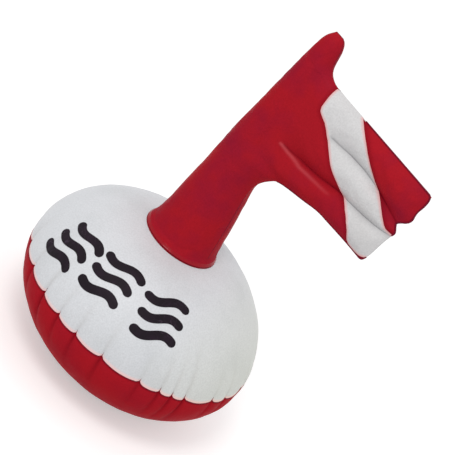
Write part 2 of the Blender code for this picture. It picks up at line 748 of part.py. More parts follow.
def valve_stem(prefix, carrier):
    foot = VALVE_BORE_RADIUS - STEM_FOOT_CLEARANCE
    profile = [
        (STEM_BORE_RADIUS, STEM_RISE), (STEM_LIP_RADIUS, STEM_RISE),
        (STEM_LIP_RADIUS, STEM_RISE - STEM_LIP_THICKNESS),
        (STEM_RADIUS, STEM_RISE - STEM_LIP_THICKNESS),
        (STEM_RADIUS, STEM_FOOT_THICKNESS - STEM_LENGTH), (foot, STEM_FOOT_THICKNESS - STEM_LENGTH),
        (foot, -STEM_LENGTH), (STEM_BORE_RADIUS, -STEM_LENGTH),
    ]
    mesh = turned_mesh(prefix + "_stem", profile, VALVE_STEPS, closed=True)
    mesh.shade_smooth()
    mesh.set_sharp_from_angle(angle=CRISP_ANGLE)
    stem = keep(prefix + "_stem", mesh, clear_pvc(), carrier)
    ear = cutter_box(
        prefix + "_ear", (STEM_RADIUS - STEM_LIP_THICKNESS, -EAR_WIDTH / 2.0, STEM_RISE - STEM_LIP_THICKNESS),
        (EAR_REACH, EAR_WIDTH / 2.0, STEM_RISE), Matrix())
    ear.parent = carrier
    boolean(stem, ear, "UNION")


def valve_plug(prefix, carrier):
    seat = STEM_RISE + GAP
    hinge = Vector((PLUG_HINGE_OFFSET, 0.0, seat + PLUG_HINGE_RADIUS))
    profile = [
        (0.0, seat + PLUG_HEAD_THICKNESS), (STEM_LIP_RADIUS - PLUG_EDGE, seat + PLUG_HEAD_THICKNESS),
        (STEM_LIP_RADIUS, seat + PLUG_HEAD_THICKNESS - PLUG_EDGE), (STEM_LIP_RADIUS, seat),
        (PLUG_PEG_ROOT_RADIUS, seat), (PLUG_PEG_TIP_RADIUS, seat - PLUG_PEG_LENGTH),
        (0.0, seat - PLUG_PEG_LENGTH),
    ]
    mesh = turned_mesh(prefix + "_plug", profile, VALVE_STEPS, closed=False)
    mesh.transform(Matrix.Translation(-hinge))
    mesh.shade_smooth()
    mesh.set_sharp_from_angle(angle=CRISP_ANGLE)
    plug = keep(prefix + "_plug", mesh, clear_pvc(), carrier)
    plug.location = hinge
    strap = cutter_box(
        prefix + "_strap", (STEM_RADIUS, -STRAP_WIDTH / 2.0, hinge.z - STRAP_THICKNESS / 2.0),
        (PLUG_HINGE_OFFSET, STRAP_WIDTH / 2.0, hinge.z + STRAP_THICKNESS / 2.0), Matrix())
    lying = Matrix.Translation(hinge) @ Matrix.Rotation(math.radians(90.0), 4, "X")
    knuckle = cutter_cylinder(
        prefix + "_knuckle", PLUG_HINGE_RADIUS, -STRAP_WIDTH / 2.0, STRAP_WIDTH / 2.0, lying)
    for piece in (strap, knuckle):
        piece.parent = carrier
        boolean(plug, piece, "UNION")


def valve_flap(prefix, carrier):
    top = -STEM_LENGTH - GAP
    hinge = Vector((FLAP_HINGE_OFFSET, 0.0, top - FLAP_THICKNESS / 2.0))
    profile = [
        (0.0, top), (FLAP_RADIUS, top), (FLAP_RADIUS, top - FLAP_THICKNESS), (0.0, top - FLAP_THICKNESS),
    ]
    mesh = turned_mesh(prefix + "_flap", profile, VALVE_STEPS, closed=False)
    mesh.transform(Matrix.Translation(-hinge))
    flap = keep(prefix + "_flap", mesh, clear_pvc(), carrier)
    flap.location = hinge
    lug = cutter_box(
        prefix + "_lug", (FLAP_RADIUS - STRAP_THICKNESS, -STRAP_WIDTH / 2.0, top - FLAP_THICKNESS),
        (FLAP_HINGE_OFFSET, STRAP_WIDTH / 2.0, top), Matrix())
    lug.parent = carrier
    boolean(flap, lug, "UNION")


def valve(prefix, guess, skin, standoff, sheet):
    """A whole push-in valve on the skin point nearest to a guess, through the sheet there."""
    place, normal, _, _ = BVHTree.FromBMesh(skin).find_nearest(guess)
    frame = valve_frame(place, normal, Vector((0.0, 0.0, 1.0)))
    valve_body(prefix + "_body", frame, skin, standoff, sheet)
    lifted = frame.copy()
    lifted.translation = place + normal * (standoff + VALVE_FLANGE_SHEET)
    carrier = bpy.data.objects.new(prefix + "_axis", None)
    parts.objects.link(carrier)
    carrier.parent = datum
    carrier.matrix_local = lifted
    valve_stem(prefix, carrier)
    valve_plug(prefix, carrier)
    valve_flap(prefix, carrier)
    return carrier


# Tow ring

BOTTOM_CENTRE = HULL_CENTRE - LEAN_WAY * HULL_LEAN * SEAM_HEIGHT
PATCH_TOP = HOLLOW_HEIGHT - GAP
KEEPER_TOP = PATCH_TOP - PATCH_SHEET - GAP
RING_AXIS_HEIGHT = KEEPER_TOP - RING_CLEARANCE - RING_WIRE_RADIUS


def ring_patch():
    bm = bmesh.new()
    bmesh.ops.create_cone(
        bm, cap_ends=True, segments=TURN_STEPS, radius1=PATCH_RADIUS, radius2=PATCH_RADIUS,
        depth=PATCH_SHEET)
    bmesh.ops.translate(bm, verts=bm.verts, vec=(
        BOTTOM_CENTRE.x, BOTTOM_CENTRE.y, PATCH_TOP - PATCH_SHEET / 2.0))
    keep("ring_patch", mesh_from(bm, "ring_patch"), red_pvc(), datum)


def ring_keeper():
    """A strip welded flat at both ends, with a tunnel in the middle for the ring's bar."""
    tunnel = RING_WIRE_RADIUS + RING_CLEARANCE
    line = [(-KEEPER_WING, KEEPER_TOP), (-tunnel, KEEPER_TOP)]
    for step in range(TUNNEL_STEPS + 1):
        turn = math.pi * step / TUNNEL_STEPS
        line.append((-tunnel * math.cos(turn), RING_AXIS_HEIGHT - tunnel * math.sin(turn)))
    line += [(tunnel, KEEPER_TOP), (KEEPER_WING, KEEPER_TOP)]
    bm = bmesh.new()
    rows = []
    for side in (-KEEPER_WIDTH / 2.0, KEEPER_WIDTH / 2.0):
        rows.append([bm.verts.new((BOTTOM_CENTRE.x + along_x, BOTTOM_CENTRE.y + side, height))
                     for along_x, height in line])
    for number in range(len(line) - 1):
        bm.faces.new((rows[0][number], rows[1][number], rows[1][number + 1], rows[0][number + 1]))
    bmesh.ops.remove_doubles(bm, verts=bm.verts, dist=GAP * MERGE_SHARE)
    bm.normal_update()
    if bm.faces[:][0].normal.z > 0.0:
        bmesh.ops.reverse_faces(bm, faces=bm.faces)
    strip = keep("ring_keeper", mesh_from(bm, "ring_keeper"), red_pvc(), datum)
    solidify(strip, KEEPER_SHEET, 1.0)


def tow_ring():
    """A D-shaped wire ring, laid down so that its bow just clears the ground."""
    tilt = math.asin((RING_AXIS_HEIGHT - RING_WIRE_RADIUS - RING_FLOOR_GAP) / RING_REACH)
    curve = bpy.data.curves.new("tow_ring", "CURVE")
    curve.dimensions = "3D"
    curve.bevel_depth = RING_WIRE_RADIUS
    curve.bevel_resolution = 2
    spline = curve.splines.new("POLY")
    bow = RING_REACH - RING_SIDE
    places = [(0.0, RING_HALF_WIDTH), (0.0, 0.0), (0.0, -RING_HALF_WIDTH)]
    for step in range(RING_BEND_STEPS + 1):
        turn = math.pi * step / RING_BEND_STEPS
        places.append((RING_SIDE + bow * math.sin(turn), -RING_HALF_WIDTH * math.cos(turn)))
    spline.points.add(len(places) - 1)
    for point, (out, side) in zip(spline.points, places):
        point.co = (out * math.cos(tilt), side, -out * math.sin(tilt), 1.0)
    spline.use_cyclic_u = True
    holder = bpy.data.objects.new("tow_ring_line", curve)
    parts.objects.link(holder)
    mesh = evaluated_mesh(holder)
    bpy.data.objects.remove(holder)
    ring = keep("tow_ring", mesh, ring_steel(), datum)
    ring.location = (BOTTOM_CENTRE.x, BOTTOM_CENTRE.y, RING_AXIS_HEIGHT)
    return ring


def centre_on_floor():
    """Moves the whole part so that the middle of its footprint is the origin."""
    graph = bpy.context.evaluated_depsgraph_get()
    graph.update()
    places = []
    for piece in parts.objects:
        if piece.type == "MESH":
            solid = piece.evaluated_get(graph)
            places += [solid.matrix_world @ vert.co for vert in solid.data.vertices]
    middle_x = (min(place.x for place in places) + max(place.x for place in places)) / 2.0
    middle_y = (min(place.y for place in places) + max(place.y for place in places)) / 2.0
    datum.location = (-middle_x, -middle_y, 0.0)
    bpy.context.view_layer.update()


def say_places(carriers, ring):
    """Prints the joint places and directions, for the drawing."""
    for carrier in carriers:
        world = carrier.matrix_world
        print(carrier.name, "origin", [round(value, 6) for value in world.translation])
        print(carrier.name, "slides along", [round(value, 6) for value in world.col[2].xyz])
        print(carrier.name, "hinge line", [round(value, 6) for value in world.col[1].xyz])
        for child in carrier.children:
            if child.name.endswith(("_plug", "_flap")):
                print(child.name, "hinge at", [round(value, 6) for value in child.matrix_world.translation])
    print("tow_ring hinge at", [round(value, 6) for value in ring.matrix_world.translation])
    foot = datum.matrix_world @ BOTTOM_CENTRE
    print("foot ring centre", [round(value, 6) for value in foot])
    print("mast axis", [round(value, 6) for value in datum.location])


clear_scene()
datum = bpy.data.objects.new("datum", None)
parts.objects.link(datum)
top_panel, top_skin = hull_panels()
rim_seam_tape()
sheets, sheet_skins = mast_sheets()
stripes = flag_stripes(sheet_skins)
mast_floor_disc()
mast_base_collar()
valve_guess = HULL_CENTRE + LEAN_WAY * HULL_LEAN * HULL_VALVE_RISE + Vector((
    HULL_VALVE_RADIUS * math.cos(HULL_VALVE_AZIMUTH), HULL_VALVE_RADIUS * math.sin(HULL_VALVE_AZIMUTH), 0.0))
valve_guess.z = SEAM_HEIGHT + HULL_VALVE_RISE
hull_valve = valve("hull_valve", valve_guess, top_skin, GAP, top_panel)
mast_valve = valve(
    "mast_valve", Vector((MAST_BASE_SHIFT, MAST_BASE_RADIUS, MAST_FOOT + MAST_VALVE_HEIGHT)),
    sheet_skins[1.0], SHEET + GAP, sheets[1.0])
ring_patch()
ring_keeper()
ring_piece = tow_ring()
centre_on_floor()
say_places((hull_valve, mast_valve), ring_piece)
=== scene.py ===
# %% [markdown]
# # A dive flag float
# A diver tows this float so that boats keep clear. It is an inflatable made of PVC film: a round hull of two
# discs welded at the rim, and a flag on a cone-shaped mast, made of two sheets welded round their outline.
# Air gives both their shape, so this lesson is about film under pressure: puckers, weld lines and satin skin.
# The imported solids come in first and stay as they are. Every piece below is placed from their sizes.

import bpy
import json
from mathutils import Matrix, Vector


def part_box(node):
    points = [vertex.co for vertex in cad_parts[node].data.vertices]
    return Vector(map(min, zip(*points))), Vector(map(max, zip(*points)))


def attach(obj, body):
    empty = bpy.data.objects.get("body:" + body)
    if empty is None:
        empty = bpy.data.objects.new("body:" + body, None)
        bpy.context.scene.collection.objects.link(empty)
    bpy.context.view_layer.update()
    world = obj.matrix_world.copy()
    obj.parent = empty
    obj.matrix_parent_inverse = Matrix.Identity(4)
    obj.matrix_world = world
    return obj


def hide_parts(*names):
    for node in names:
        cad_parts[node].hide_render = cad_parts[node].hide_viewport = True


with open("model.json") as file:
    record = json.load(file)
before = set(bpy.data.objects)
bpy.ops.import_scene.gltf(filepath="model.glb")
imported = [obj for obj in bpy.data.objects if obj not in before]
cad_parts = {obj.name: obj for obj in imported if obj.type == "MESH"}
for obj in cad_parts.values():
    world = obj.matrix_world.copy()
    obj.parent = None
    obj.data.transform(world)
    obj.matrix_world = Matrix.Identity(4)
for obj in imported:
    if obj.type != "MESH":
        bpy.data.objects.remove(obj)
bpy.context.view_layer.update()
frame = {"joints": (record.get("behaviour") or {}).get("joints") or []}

import json
import math
import random
from contextlib import contextmanager

import bmesh
import bpy
from mathutils import Matrix, Vector, noise
from mathutils.bvhtree import BVHTree

scene = bpy.context.scene

# %% [markdown]
# ## Where the hull and the mast stand
# The hull leans a little, because the mast pulls its crown to one side. All its levels are circles whose
# centres lie on one leaning line. The round patch under the bottom marks the lower end of that line, so its
# box gives the line's place, and nothing has to be fitted by eye.

# %% Centre lines of hull and mast
FILM = 0.0005
CLEARANCE = 0.0003
SEAM_HEIGHT = 0.127
SEAT_RISE = 0.133
HULL_LEAN = 0.12
LEAN_AZIMUTH = math.radians(27.0)
MAST_BASE_SHIFT = 0.007

patch_low, patch_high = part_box("ring_patch")
foot_centre = (Vector(patch_low) + Vector(patch_high)) / 2.0
foot_centre.z = 0.0
lean_way = Vector((-math.cos(LEAN_AZIMUTH), -math.sin(LEAN_AZIMUTH), 0.0))
hull_centre = foot_centre + lean_way * HULL_LEAN * SEAM_HEIGHT
mast_axis = hull_centre + lean_way * HULL_LEAN * SEAT_RISE - Vector((MAST_BASE_SHIFT, 0.0, 0.0))
print("hull centre:", hull_centre, "mast axis:", mast_axis)

# %% [markdown]
# ## Camera
# The photograph looks down on the float and is turned on its side, so the mast leans to the right in the
# picture. A camera can be given as three directions, right, up and forward, which become the columns of its
# matrix. Rolling the first two about the third tilts the picture without moving the float.

# %% Camera at the photograph's viewing angle
PITCH, ROLL, TURN = math.radians(25.9), math.radians(39.57), math.radians(27.0)
CAMERA_DISTANCE = 2.4
ASIDE, ABOVE = 0.13563, 0.11909
LENS, SENSOR = 118.55, 36.0

level_right = Vector((1.0, 0.0, 0.0))
level_up = Vector((0.0, math.sin(PITCH), math.cos(PITCH)))
forward = Vector((0.0, math.cos(PITCH), -math.sin(PITCH)))
right = level_right * math.cos(ROLL) + level_up * math.sin(ROLL)
up = level_up * math.cos(ROLL) - level_right * math.sin(ROLL)
turn = Matrix.Rotation(TURN, 3, "Z")
eye = turn @ (right * ASIDE + up * ABOVE - forward * CAMERA_DISTANCE)
right, up, forward = turn @ right, turn @ up, turn @ forward
camera = bpy.data.objects.new("camera", bpy.data.cameras.new("camera"))
camera.data.lens, camera.data.sensor_width = LENS, SENSOR
eye += hull_centre + Vector((0.0, 0.0, SEAM_HEIGHT))
camera.matrix_world = Matrix.Translation(eye) @ Matrix((right, up, -forward)).transposed().to_4x4()
scene.collection.objects.link(camera)
scene.camera = camera
print("camera at", eye)

# %% [markdown]
# ## Small tools for meshes
# A finished piece is a plain mesh whose object sits at the origin, because the frame expects it there. So
# every piece is made in place, its modifiers are worked in, and only then is it tied to a body.
# Most pieces are rows of points with faces between them, so one helper makes all such faces.

# %% Making a piece
def linked(name, mesh):
    """A new object for a mesh, in the scene."""
    made = bpy.data.objects.new(name, mesh)
    scene.collection.objects.link(made)
    return made


def from_bmesh(name, bm):
    mesh = bpy.data.meshes.new(name)
    bm.to_mesh(mesh)
    bm.free()
    return linked(name, mesh)


@contextmanager
def reshaping(piece):
    """Opens a piece's mesh for changes and writes them back."""
    bm = bmesh.new()
    bm.from_mesh(piece.data)
    yield bm
    bm.to_mesh(piece.data)
    bm.free()


def quads(bm, rows, closed=False, flipped=False):
    """Faces between each row of vertices and the next. Closed rows also join their end to their start."""
    for near, far in zip(rows, rows[1:]):
        for here in range(len(near) if closed else len(near) - 1):
            after = (here + 1) % len(near)
            if flipped:
                bm.faces.new((near[here], far[here], far[after], near[after]))
            else:
                bm.faces.new((near[here], near[after], far[after], far[here]))


# %% Finishing and tying a piece
def plain(piece):
    """Works the modifiers in and takes them off."""
    graph = bpy.context.evaluated_depsgraph_get()
    graph.update()
    mesh = bpy.data.meshes.new_from_object(
        piece.evaluated_get(graph), preserve_all_data_layers=True, depsgraph=graph)
    piece.modifiers.clear()
    piece.data = mesh
    return piece


def walled(piece, thickness, offset):
    """Gives an open skin its film thickness."""
    wall = piece.modifiers.new("wall", "SOLIDIFY")
    wall.thickness, wall.offset, wall.use_even_offset = thickness, offset, True
    return plain(piece)


def dress(piece, finish, slot, body, *stands_for, crisp=50.0):
    """Gives a piece its finish and its smooth shading, and ties it to its body."""
    piece.data.materials.clear()
    piece.data.materials.append(finish)
    piece.data.shade_smooth()
    piece.data.set_sharp_from_angle(angle=math.radians(crisp))
    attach(piece, body)
    if stands_for:
        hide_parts(*stands_for)
    print(piece.name, "has", sum(len(face.vertices) - 2 for face in piece.data.polygons), "triangles")
    return piece


# %% [markdown]
# ## Shared shader effects
# PVC film is never one flat colour. The pigment clouds a little, the rollers that made the film leave a fine
# grain, and folding for storage leaves faint crease marks. Several finishes need all three, so each effect is
# a node group with named inputs. A group gives out only colours, masks and heights, and each material then
# decides what to do with them.

# %% Nodes in few words
def joined(tree, kind, links, **settings):
    """A node with its settings, and its inputs linked or set, by name or by number."""
    node = tree.nodes.new(kind)
    for key, value in settings.items():
        setattr(node, key, value)
    for key, value in links.items():
        if isinstance(value, bpy.types.NodeSocket):
            tree.links.new(value, node.inputs[key])
        else:
            node.inputs[key].default_value = value
    return node


def maths(tree, operation, first, second):
    return joined(tree, "ShaderNodeMath", {0: first, 1: second}, operation=operation).outputs[0]


def scaled(tree, vector, factor):
    """A vector or a colour times a number."""
    return joined(tree, "ShaderNodeVectorMath", {0: vector, "Scale": factor}, operation="SCALE").outputs[0]


def ranged(tree, value, low=0.0, high=1.0, to_low=0.0, to_high=1.0, way="LINEAR"):
    """A number carried from one range to another."""
    return joined(tree, "ShaderNodeMapRange", {
        "Value": value, "From Min": low, "From Max": high, "To Min": to_low, "To Max": to_high},
        interpolation_type=way).outputs[0]


def blended(tree, factor, first, second, way="MIX"):
    """A mix of two colours."""
    return joined(tree, "ShaderNodeMix", {"Factor": factor, 6: first, 7: second},
                  data_type="RGBA", blend_type=way).outputs[2]


def object_place(tree):
    return joined(tree, "ShaderNodeTexCoord", {}).outputs["Object"]


def noisy(tree, place, size, detail=2.0, roughness=0.5):
    return joined(tree, "ShaderNodeTexNoise", {
        "Vector": place, "Scale": size, "Detail": detail, "Roughness": roughness})


# %% Cloudy pigment
def shader_group(name, inputs, outputs):
    """A shader node group with the given sockets, and its two end nodes."""
    group = bpy.data.node_groups.new(name, "ShaderNodeTree")
    for label, value in inputs.items():
        kind = "NodeSocketColor" if isinstance(value, tuple) else "NodeSocketFloat"
        group.interface.new_socket(label, in_out="INPUT", socket_type=kind).default_value = value
    for label, kind in outputs.items():
        group.interface.new_socket(label, in_out="OUTPUT", socket_type=kind)
    return group, group.nodes.new("NodeGroupInput").outputs, group.nodes.new("NodeGroupOutput").inputs


clouds, given, result = shader_group(
    "cloudy_pigment",
    {"Colour": (0.8, 0.8, 0.8, 1.0), "Cloud colour": (0.6, 0.6, 0.6, 1.0), "Size": 14.0, "Amount": 0.5,
     "Speckle": 0.06},
    {"Colour": "NodeSocketColor"})
place = object_place(clouds)
broad = noisy(clouds, place, given["Size"], 3.0, 0.55).outputs["Fac"]
share = maths(clouds, "MULTIPLY", ranged(clouds, broad, 0.46, 0.72), given["Amount"])
pigment = blended(clouds, share, given["Colour"], given["Cloud colour"])
fine = noisy(clouds, place, 420.0).outputs["Fac"]
dark, light = maths(clouds, "SUBTRACT", 1.0, given["Speckle"]), maths(clouds, "ADD", 1.0, given["Speckle"])
clouds.links.new(scaled(clouds, pigment, ranged(clouds, fine, 0.3, 0.7, dark, light)), result["Colour"])

# %% Roller grain
grain, given, result = shader_group(
    "roller_grain", {"Size": 900.0, "Wander": 0.5}, {"Height": "NodeSocketFloat"})
place = object_place(grain)
cells = joined(grain, "ShaderNodeTexVoronoi", {"Vector": place, "Scale": given["Size"]}, feature="SMOOTH_F1")
blend = joined(grain, "ShaderNodeMix", {
    "Factor": given["Wander"], 2: cells.outputs["Distance"],
    3: noisy(grain, place, given["Size"]).outputs["Fac"]})
grain.links.new(blend.outputs[0], result["Height"])

# %% Storage creases
folds, given, result = shader_group(
    "storage_creases", {"Size": 9.0, "Width": 0.035, "Waviness": 0.35},
    {"Height": "NodeSocketFloat", "Mask": "NodeSocketFloat"})
place = object_place(folds)
drift = noisy(folds, place, 7.0, 4.0).outputs["Color"]
bent = joined(folds, "ShaderNodeVectorMath", {0: place, 1: scaled(folds, drift, given["Waviness"])})
lines = joined(folds, "ShaderNodeTexVoronoi", {"Vector": bent.outputs[0], "Scale": given["Size"]},
               feature="DISTANCE_TO_EDGE")
near = ranged(folds, lines.outputs["Distance"], 0.0, given["Width"], 1.0, 0.0, way="SMOOTHSTEP")
some = ranged(folds, noisy(folds, place, 11.0).outputs["Fac"], 0.45, 0.6)
mask = maths(folds, "MULTIPLY", near, some)
folds.links.new(mask, result["Mask"])
folds.links.new(mask, result["Height"])

# %% Dust and rubbed spots
dust, given, result = shader_group(
    "dust_and_rubs", {"Size": 45.0, "Amount": 0.5}, {"Mask": "NodeSocketFloat"})
specks = noisy(dust, object_place(dust), given["Size"], 6.0, 0.7).outputs["Fac"]
dust.links.new(maths(dust, "MULTIPLY", ranged(dust, specks, 0.5, 0.75), given["Amount"]), result["Mask"])
print("shared effects:", [group.name for group in bpy.data.node_groups])


# %% [markdown]
# ## Finishes
# The float has few finishes: white film, red film, the dark print, milky valve plastic and the wire of the
# tow ring. Film is satin: a soft, weak highlight. Its roughness lies near 0.4 and wanders with rubs. Where
# two sheets are pressed together the film is darker. Painted shade darkens the folds, the valleys beside the
# welds and a few edges, and the meshes carry both in one attribute. White film that lies over red shows it
# along its edge as a paler red, and a painted highlight pales the flag's lowest crest; a second attribute
# carries both. The side of the hull that saw more sun has turned a little yellow.

# %% A colour from screen values
def screen(red, green, blue):
    """Screen values from 0 to 255 as the linear colour a shader takes."""
    def linear(value):
        value /= 255.0
        return value / 12.92 if value <= 0.04045 else ((value + 0.055) / 1.055) ** 2.4
    return (linear(red), linear(green), linear(blue), 1.0)


# %% Tools for a material
def new_finish(name, **numbers):
    """A material, its tree and its shader, with the shader's plain numbers set."""
    made = bpy.data.materials.new(name)
    made.use_nodes = True
    shader = made.node_tree.nodes["Principled BSDF"]
    for label, value in numbers.items():
        shader.inputs[label.replace("_", " ")].default_value = value
    return made, made.node_tree, shader.inputs


def effect(tree, group, **values):
    """A shared effect in a material, with its own values."""
    named = {label.replace("_", " "): value for label, value in values.items()}
    return joined(tree, "ShaderNodeGroup", named, node_tree=group).outputs


def bumped(tree, height, strength, distance, **normal):
    return joined(tree, "ShaderNodeBump", {
        "Height": height, "Strength": strength, "Distance": distance, **normal}).outputs["Normal"]


# %% Film of any colour
RUB_AMOUNT, RUB_DULLING = 0.8, 0.16
CLOUD_SIZE = 13.0
GRAIN_STRENGTH, GRAIN_HEIGHT, CREASE_HEIGHT = 0.10, 0.0004, 0.0008


def film(name, colour, cloud, cloud_amount, roughness, weld_colour, crease=0.35, gloss=0.2,
         border_and_highlight_colour=(0.8, 0.6, 0.6, 1.0)):
    """Satin PVC film: clouded pigment, grain, storage creases, rubs, dark welds and painted shade, tinted
    borders and painted highlight.
    """
    made, tree, shader = new_finish(name)
    shader["Specular IOR Level"].default_value = gloss
    pigment = effect(tree, clouds, Colour=colour, Cloud_colour=cloud, Size=CLOUD_SIZE, Amount=cloud_amount)
    tone = pigment["Colour"]
    # The weld mix also lays painted shade, and the border mix also lays a painted highlight.
    for label, other in (("weld", weld_colour), ("border_and_painted_highlight", border_and_highlight_colour)):
        near = joined(tree, "ShaderNodeAttribute", {}, attribute_name=label)
        tone = blended(tree, near.outputs["Fac"], tone, other)
    tree.links.new(tone, shader["Base Color"])
    rubs = effect(tree, dust, Amount=RUB_AMOUNT)["Mask"]
    tree.links.new(ranged(tree, rubs, to_low=roughness, to_high=roughness + RUB_DULLING), shader["Roughness"])
    fine_bump = bumped(tree, effect(tree, grain)["Height"], GRAIN_STRENGTH, GRAIN_HEIGHT)
    crease_bump = bumped(tree, effect(tree, folds)["Height"], crease, CREASE_HEIGHT, Normal=fine_bump)
    tree.links.new(crease_bump, shader["Normal"])
    return made


def aged(made, colour, way, begin, end):
    """Turns a film's pigment towards another colour along a direction, as one side sees more sun."""
    tree = made.node_tree
    socket = tree.nodes["Principled BSDF"].inputs["Base Color"]
    fresh = socket.links[0].from_socket
    along = joined(tree, "ShaderNodeVectorMath", {0: object_place(tree), 1: way}, operation="DOT_PRODUCT")
    part = ranged(tree, along.outputs["Value"], begin, end)
    tree.links.new(blended(tree, part, fresh, colour, way="MULTIPLY"), socket)


# %% The films of this float
SUNNY_SIDE = (0.906, 0.415, -0.085)

# Each weld colour is also the colour of the painted shade in folds, in weld valleys and beside edges.
white_film = film(
    "white_film", screen(219, 221, 225), screen(205, 208, 211), 0.5, 0.44, screen(178, 174, 168),
    gloss=0.35, border_and_highlight_colour=screen(252, 212, 210))
aged(white_film, screen(255, 255, 242), SUNNY_SIDE, 0.03, 0.18)
flag_white = film(
    "flag_white", screen(212, 211, 212), screen(200, 198, 198), 0.5, 0.46, screen(128, 126, 130),
    gloss=0.3, border_and_highlight_colour=screen(226, 164, 164))
# The red film's border colour is a painted highlight, used on the lowest tube's crest.
red_film = film(
    "red_film", screen(169, 27, 39), screen(132, 24, 53), 0.6, 0.40, screen(116, 8, 24),
    gloss=0.01, border_and_highlight_colour=screen(214, 96, 104))
hull_red = film(
    "hull_red", screen(174, 26, 38), screen(152, 24, 43), 0.5, 0.46, screen(118, 10, 24),
    crease=0.12, gloss=0.01)
# Dark red for weld beads, and as painted shade for the teeth in the hull's folds.
weld_red = film(
    "weld_red", screen(118, 12, 36), screen(96, 10, 42), 0.4, 0.4, screen(100, 8, 30),
    crease=0.1, gloss=0.08)
bead_red = film(
    "bead_red", screen(160, 20, 34), screen(134, 10, 38), 0.3, 0.16, screen(92, 8, 30),
    crease=0.1, gloss=0.12)
print("films:", len(bpy.data.materials))


# %% Dark print
# Screen-printed ink lies thin and dull on the film and breaks up a little where the film has flexed.
def print_ink():
    made, tree, shader = new_finish("dark_print", Specular_IOR_Level=0.16)
    pigment = effect(tree, clouds, Colour=screen(22, 11, 22), Cloud_colour=screen(34, 18, 34), Size=60.0,
                     Amount=0.8)
    cracks = effect(tree, folds, Size=42.0, Width=0.02)["Mask"]
    tree.links.new(blended(tree, cracks, pigment["Colour"], screen(62, 48, 64)), shader["Base Color"])
    skin = effect(tree, grain)["Height"]
    tree.links.new(ranged(tree, skin, to_low=0.48, to_high=0.66), shader["Roughness"])
    tree.links.new(bumped(tree, skin, 0.15, 0.0003), shader["Normal"])
    return made


ink = print_ink()


# %% Milky valve plastic and ring wire
# Valve parts are soft clear PVC that looks milky because light scatters in it. Subsurface light does that
# with little noise. The ring is drawn wire, so its fine scratches run in all directions after tumbling.
def hard_finish(name, colour, cloud, cloud_size, rub_size, dullest, **numbers):
    """A moulded or drawn material, whose gloss is broken up by fine rubs."""
    made, tree, shader = new_finish(name, **numbers)
    pigment = effect(tree, clouds, Colour=colour, Cloud_colour=cloud, Size=cloud_size)
    tree.links.new(pigment["Colour"], shader["Base Color"])
    rubs = effect(tree, dust, Size=rub_size)["Mask"]
    tree.links.new(ranged(tree, rubs, to_low=0.22, to_high=dullest), shader["Roughness"])
    return made


valve_clear = hard_finish(
    "milky_valve_plastic", screen(226, 230, 236), screen(212, 219, 228), 160.0, 300.0, 0.4,
    Subsurface_Weight=0.35, Subsurface_Scale=0.002, Subsurface_Radius=(1.0, 1.0, 1.0))
wire = hard_finish(
    "ring_wire", screen(192, 192, 190), screen(164, 162, 156), 220.0, 900.0, 0.5, Metallic=1.0)
print("finishes:", len(bpy.data.materials))

# %% [markdown]
# ## The hull's rim and its puckers
# Two flat discs that are welded at the rim have too much edge once air lifts their middles. The spare edge
# gathers in puckers: between two folds the film bows out and down, and at each fold it is drawn in. Modelling
# that by hand would take long, and a cloth solver wouldn't put the folds where they are, so a rule does it.
# The rim is divided into uneven lobes, and one function gives any point of the hull from its level and its
# place in its lobe. Both panels, the band inside them and the weld all use that function, so they fit.

# %% The lobes round the rim
HULL_RADIUS = 0.210
UPPER_RISE = 0.1466
LOWER_DROP = 0.1395
LOBE_WIDTHS = (
    17.0, 15.2, 12.3, 11.0, 14.3, 19.1, 9.9, 6.2, 6.6, 16.6, 9.2, 15.6, 12.0, 16.0,
    11.0, 14.0, 18.0, 10.0, 13.0, 17.0, 12.0, 15.0, 9.0, 14.0, 16.0, 13.0, 17.0,
)
LOBE_START = math.radians(-131.0)
LOBES = len(LOBE_WIDTHS)
SEED, WEAKEST_FOLD, SHORTEST_FOLD, FOLD_GROWTH = 11, 0.42, 0.040, 0.058
lobe_starts = [sum(LOBE_WIDTHS[:lobe]) for lobe in range(LOBES)]
dice = random.Random(SEED)
fold_strength = [dice.uniform(WEAKEST_FOLD, 1.0) for _ in range(LOBES)]
fold_reach = [SHORTEST_FOLD + FOLD_GROWTH * strength * dice.uniform(0.7, 1.1) for strength in fold_strength]
print(LOBES, "lobes, folds reach", round(min(fold_reach), 3), "to", round(max(fold_reach), 3), "m")


# %% Any point of the hull
PUCKER_DEPTH, PUCKER_SAG, PUCKER_REACH = 0.0020, 0.0026, 0.085
WIDEST_LOBE = 1.25
FOLD_DEPTH, FOLD_WIDTH, FOLD_SPREAD, FOLD_FADE = 0.0032, 0.0018, 0.06, 1.3
TOOTH_HEIGHT, TOOTH_WIDTH, TOOTH_REACH = 0.0026, 0.0024, 0.005
TUCK_DEPTH, TUCK_REACH = 0.0005, 0.0015


def lobe_size(lobe):
    return LOBE_WIDTHS[lobe % LOBES] * LOBES / sum(LOBE_WIDTHS)


def nearest_fold(lobe, share):
    """The nearer fold of a lobe, and how far away it is along the rim."""
    away = min(share, 1.0 - share) * math.radians(LOBE_WIDTHS[lobe]) * HULL_RADIUS
    return (lobe + (share > 0.5)) % LOBES, away


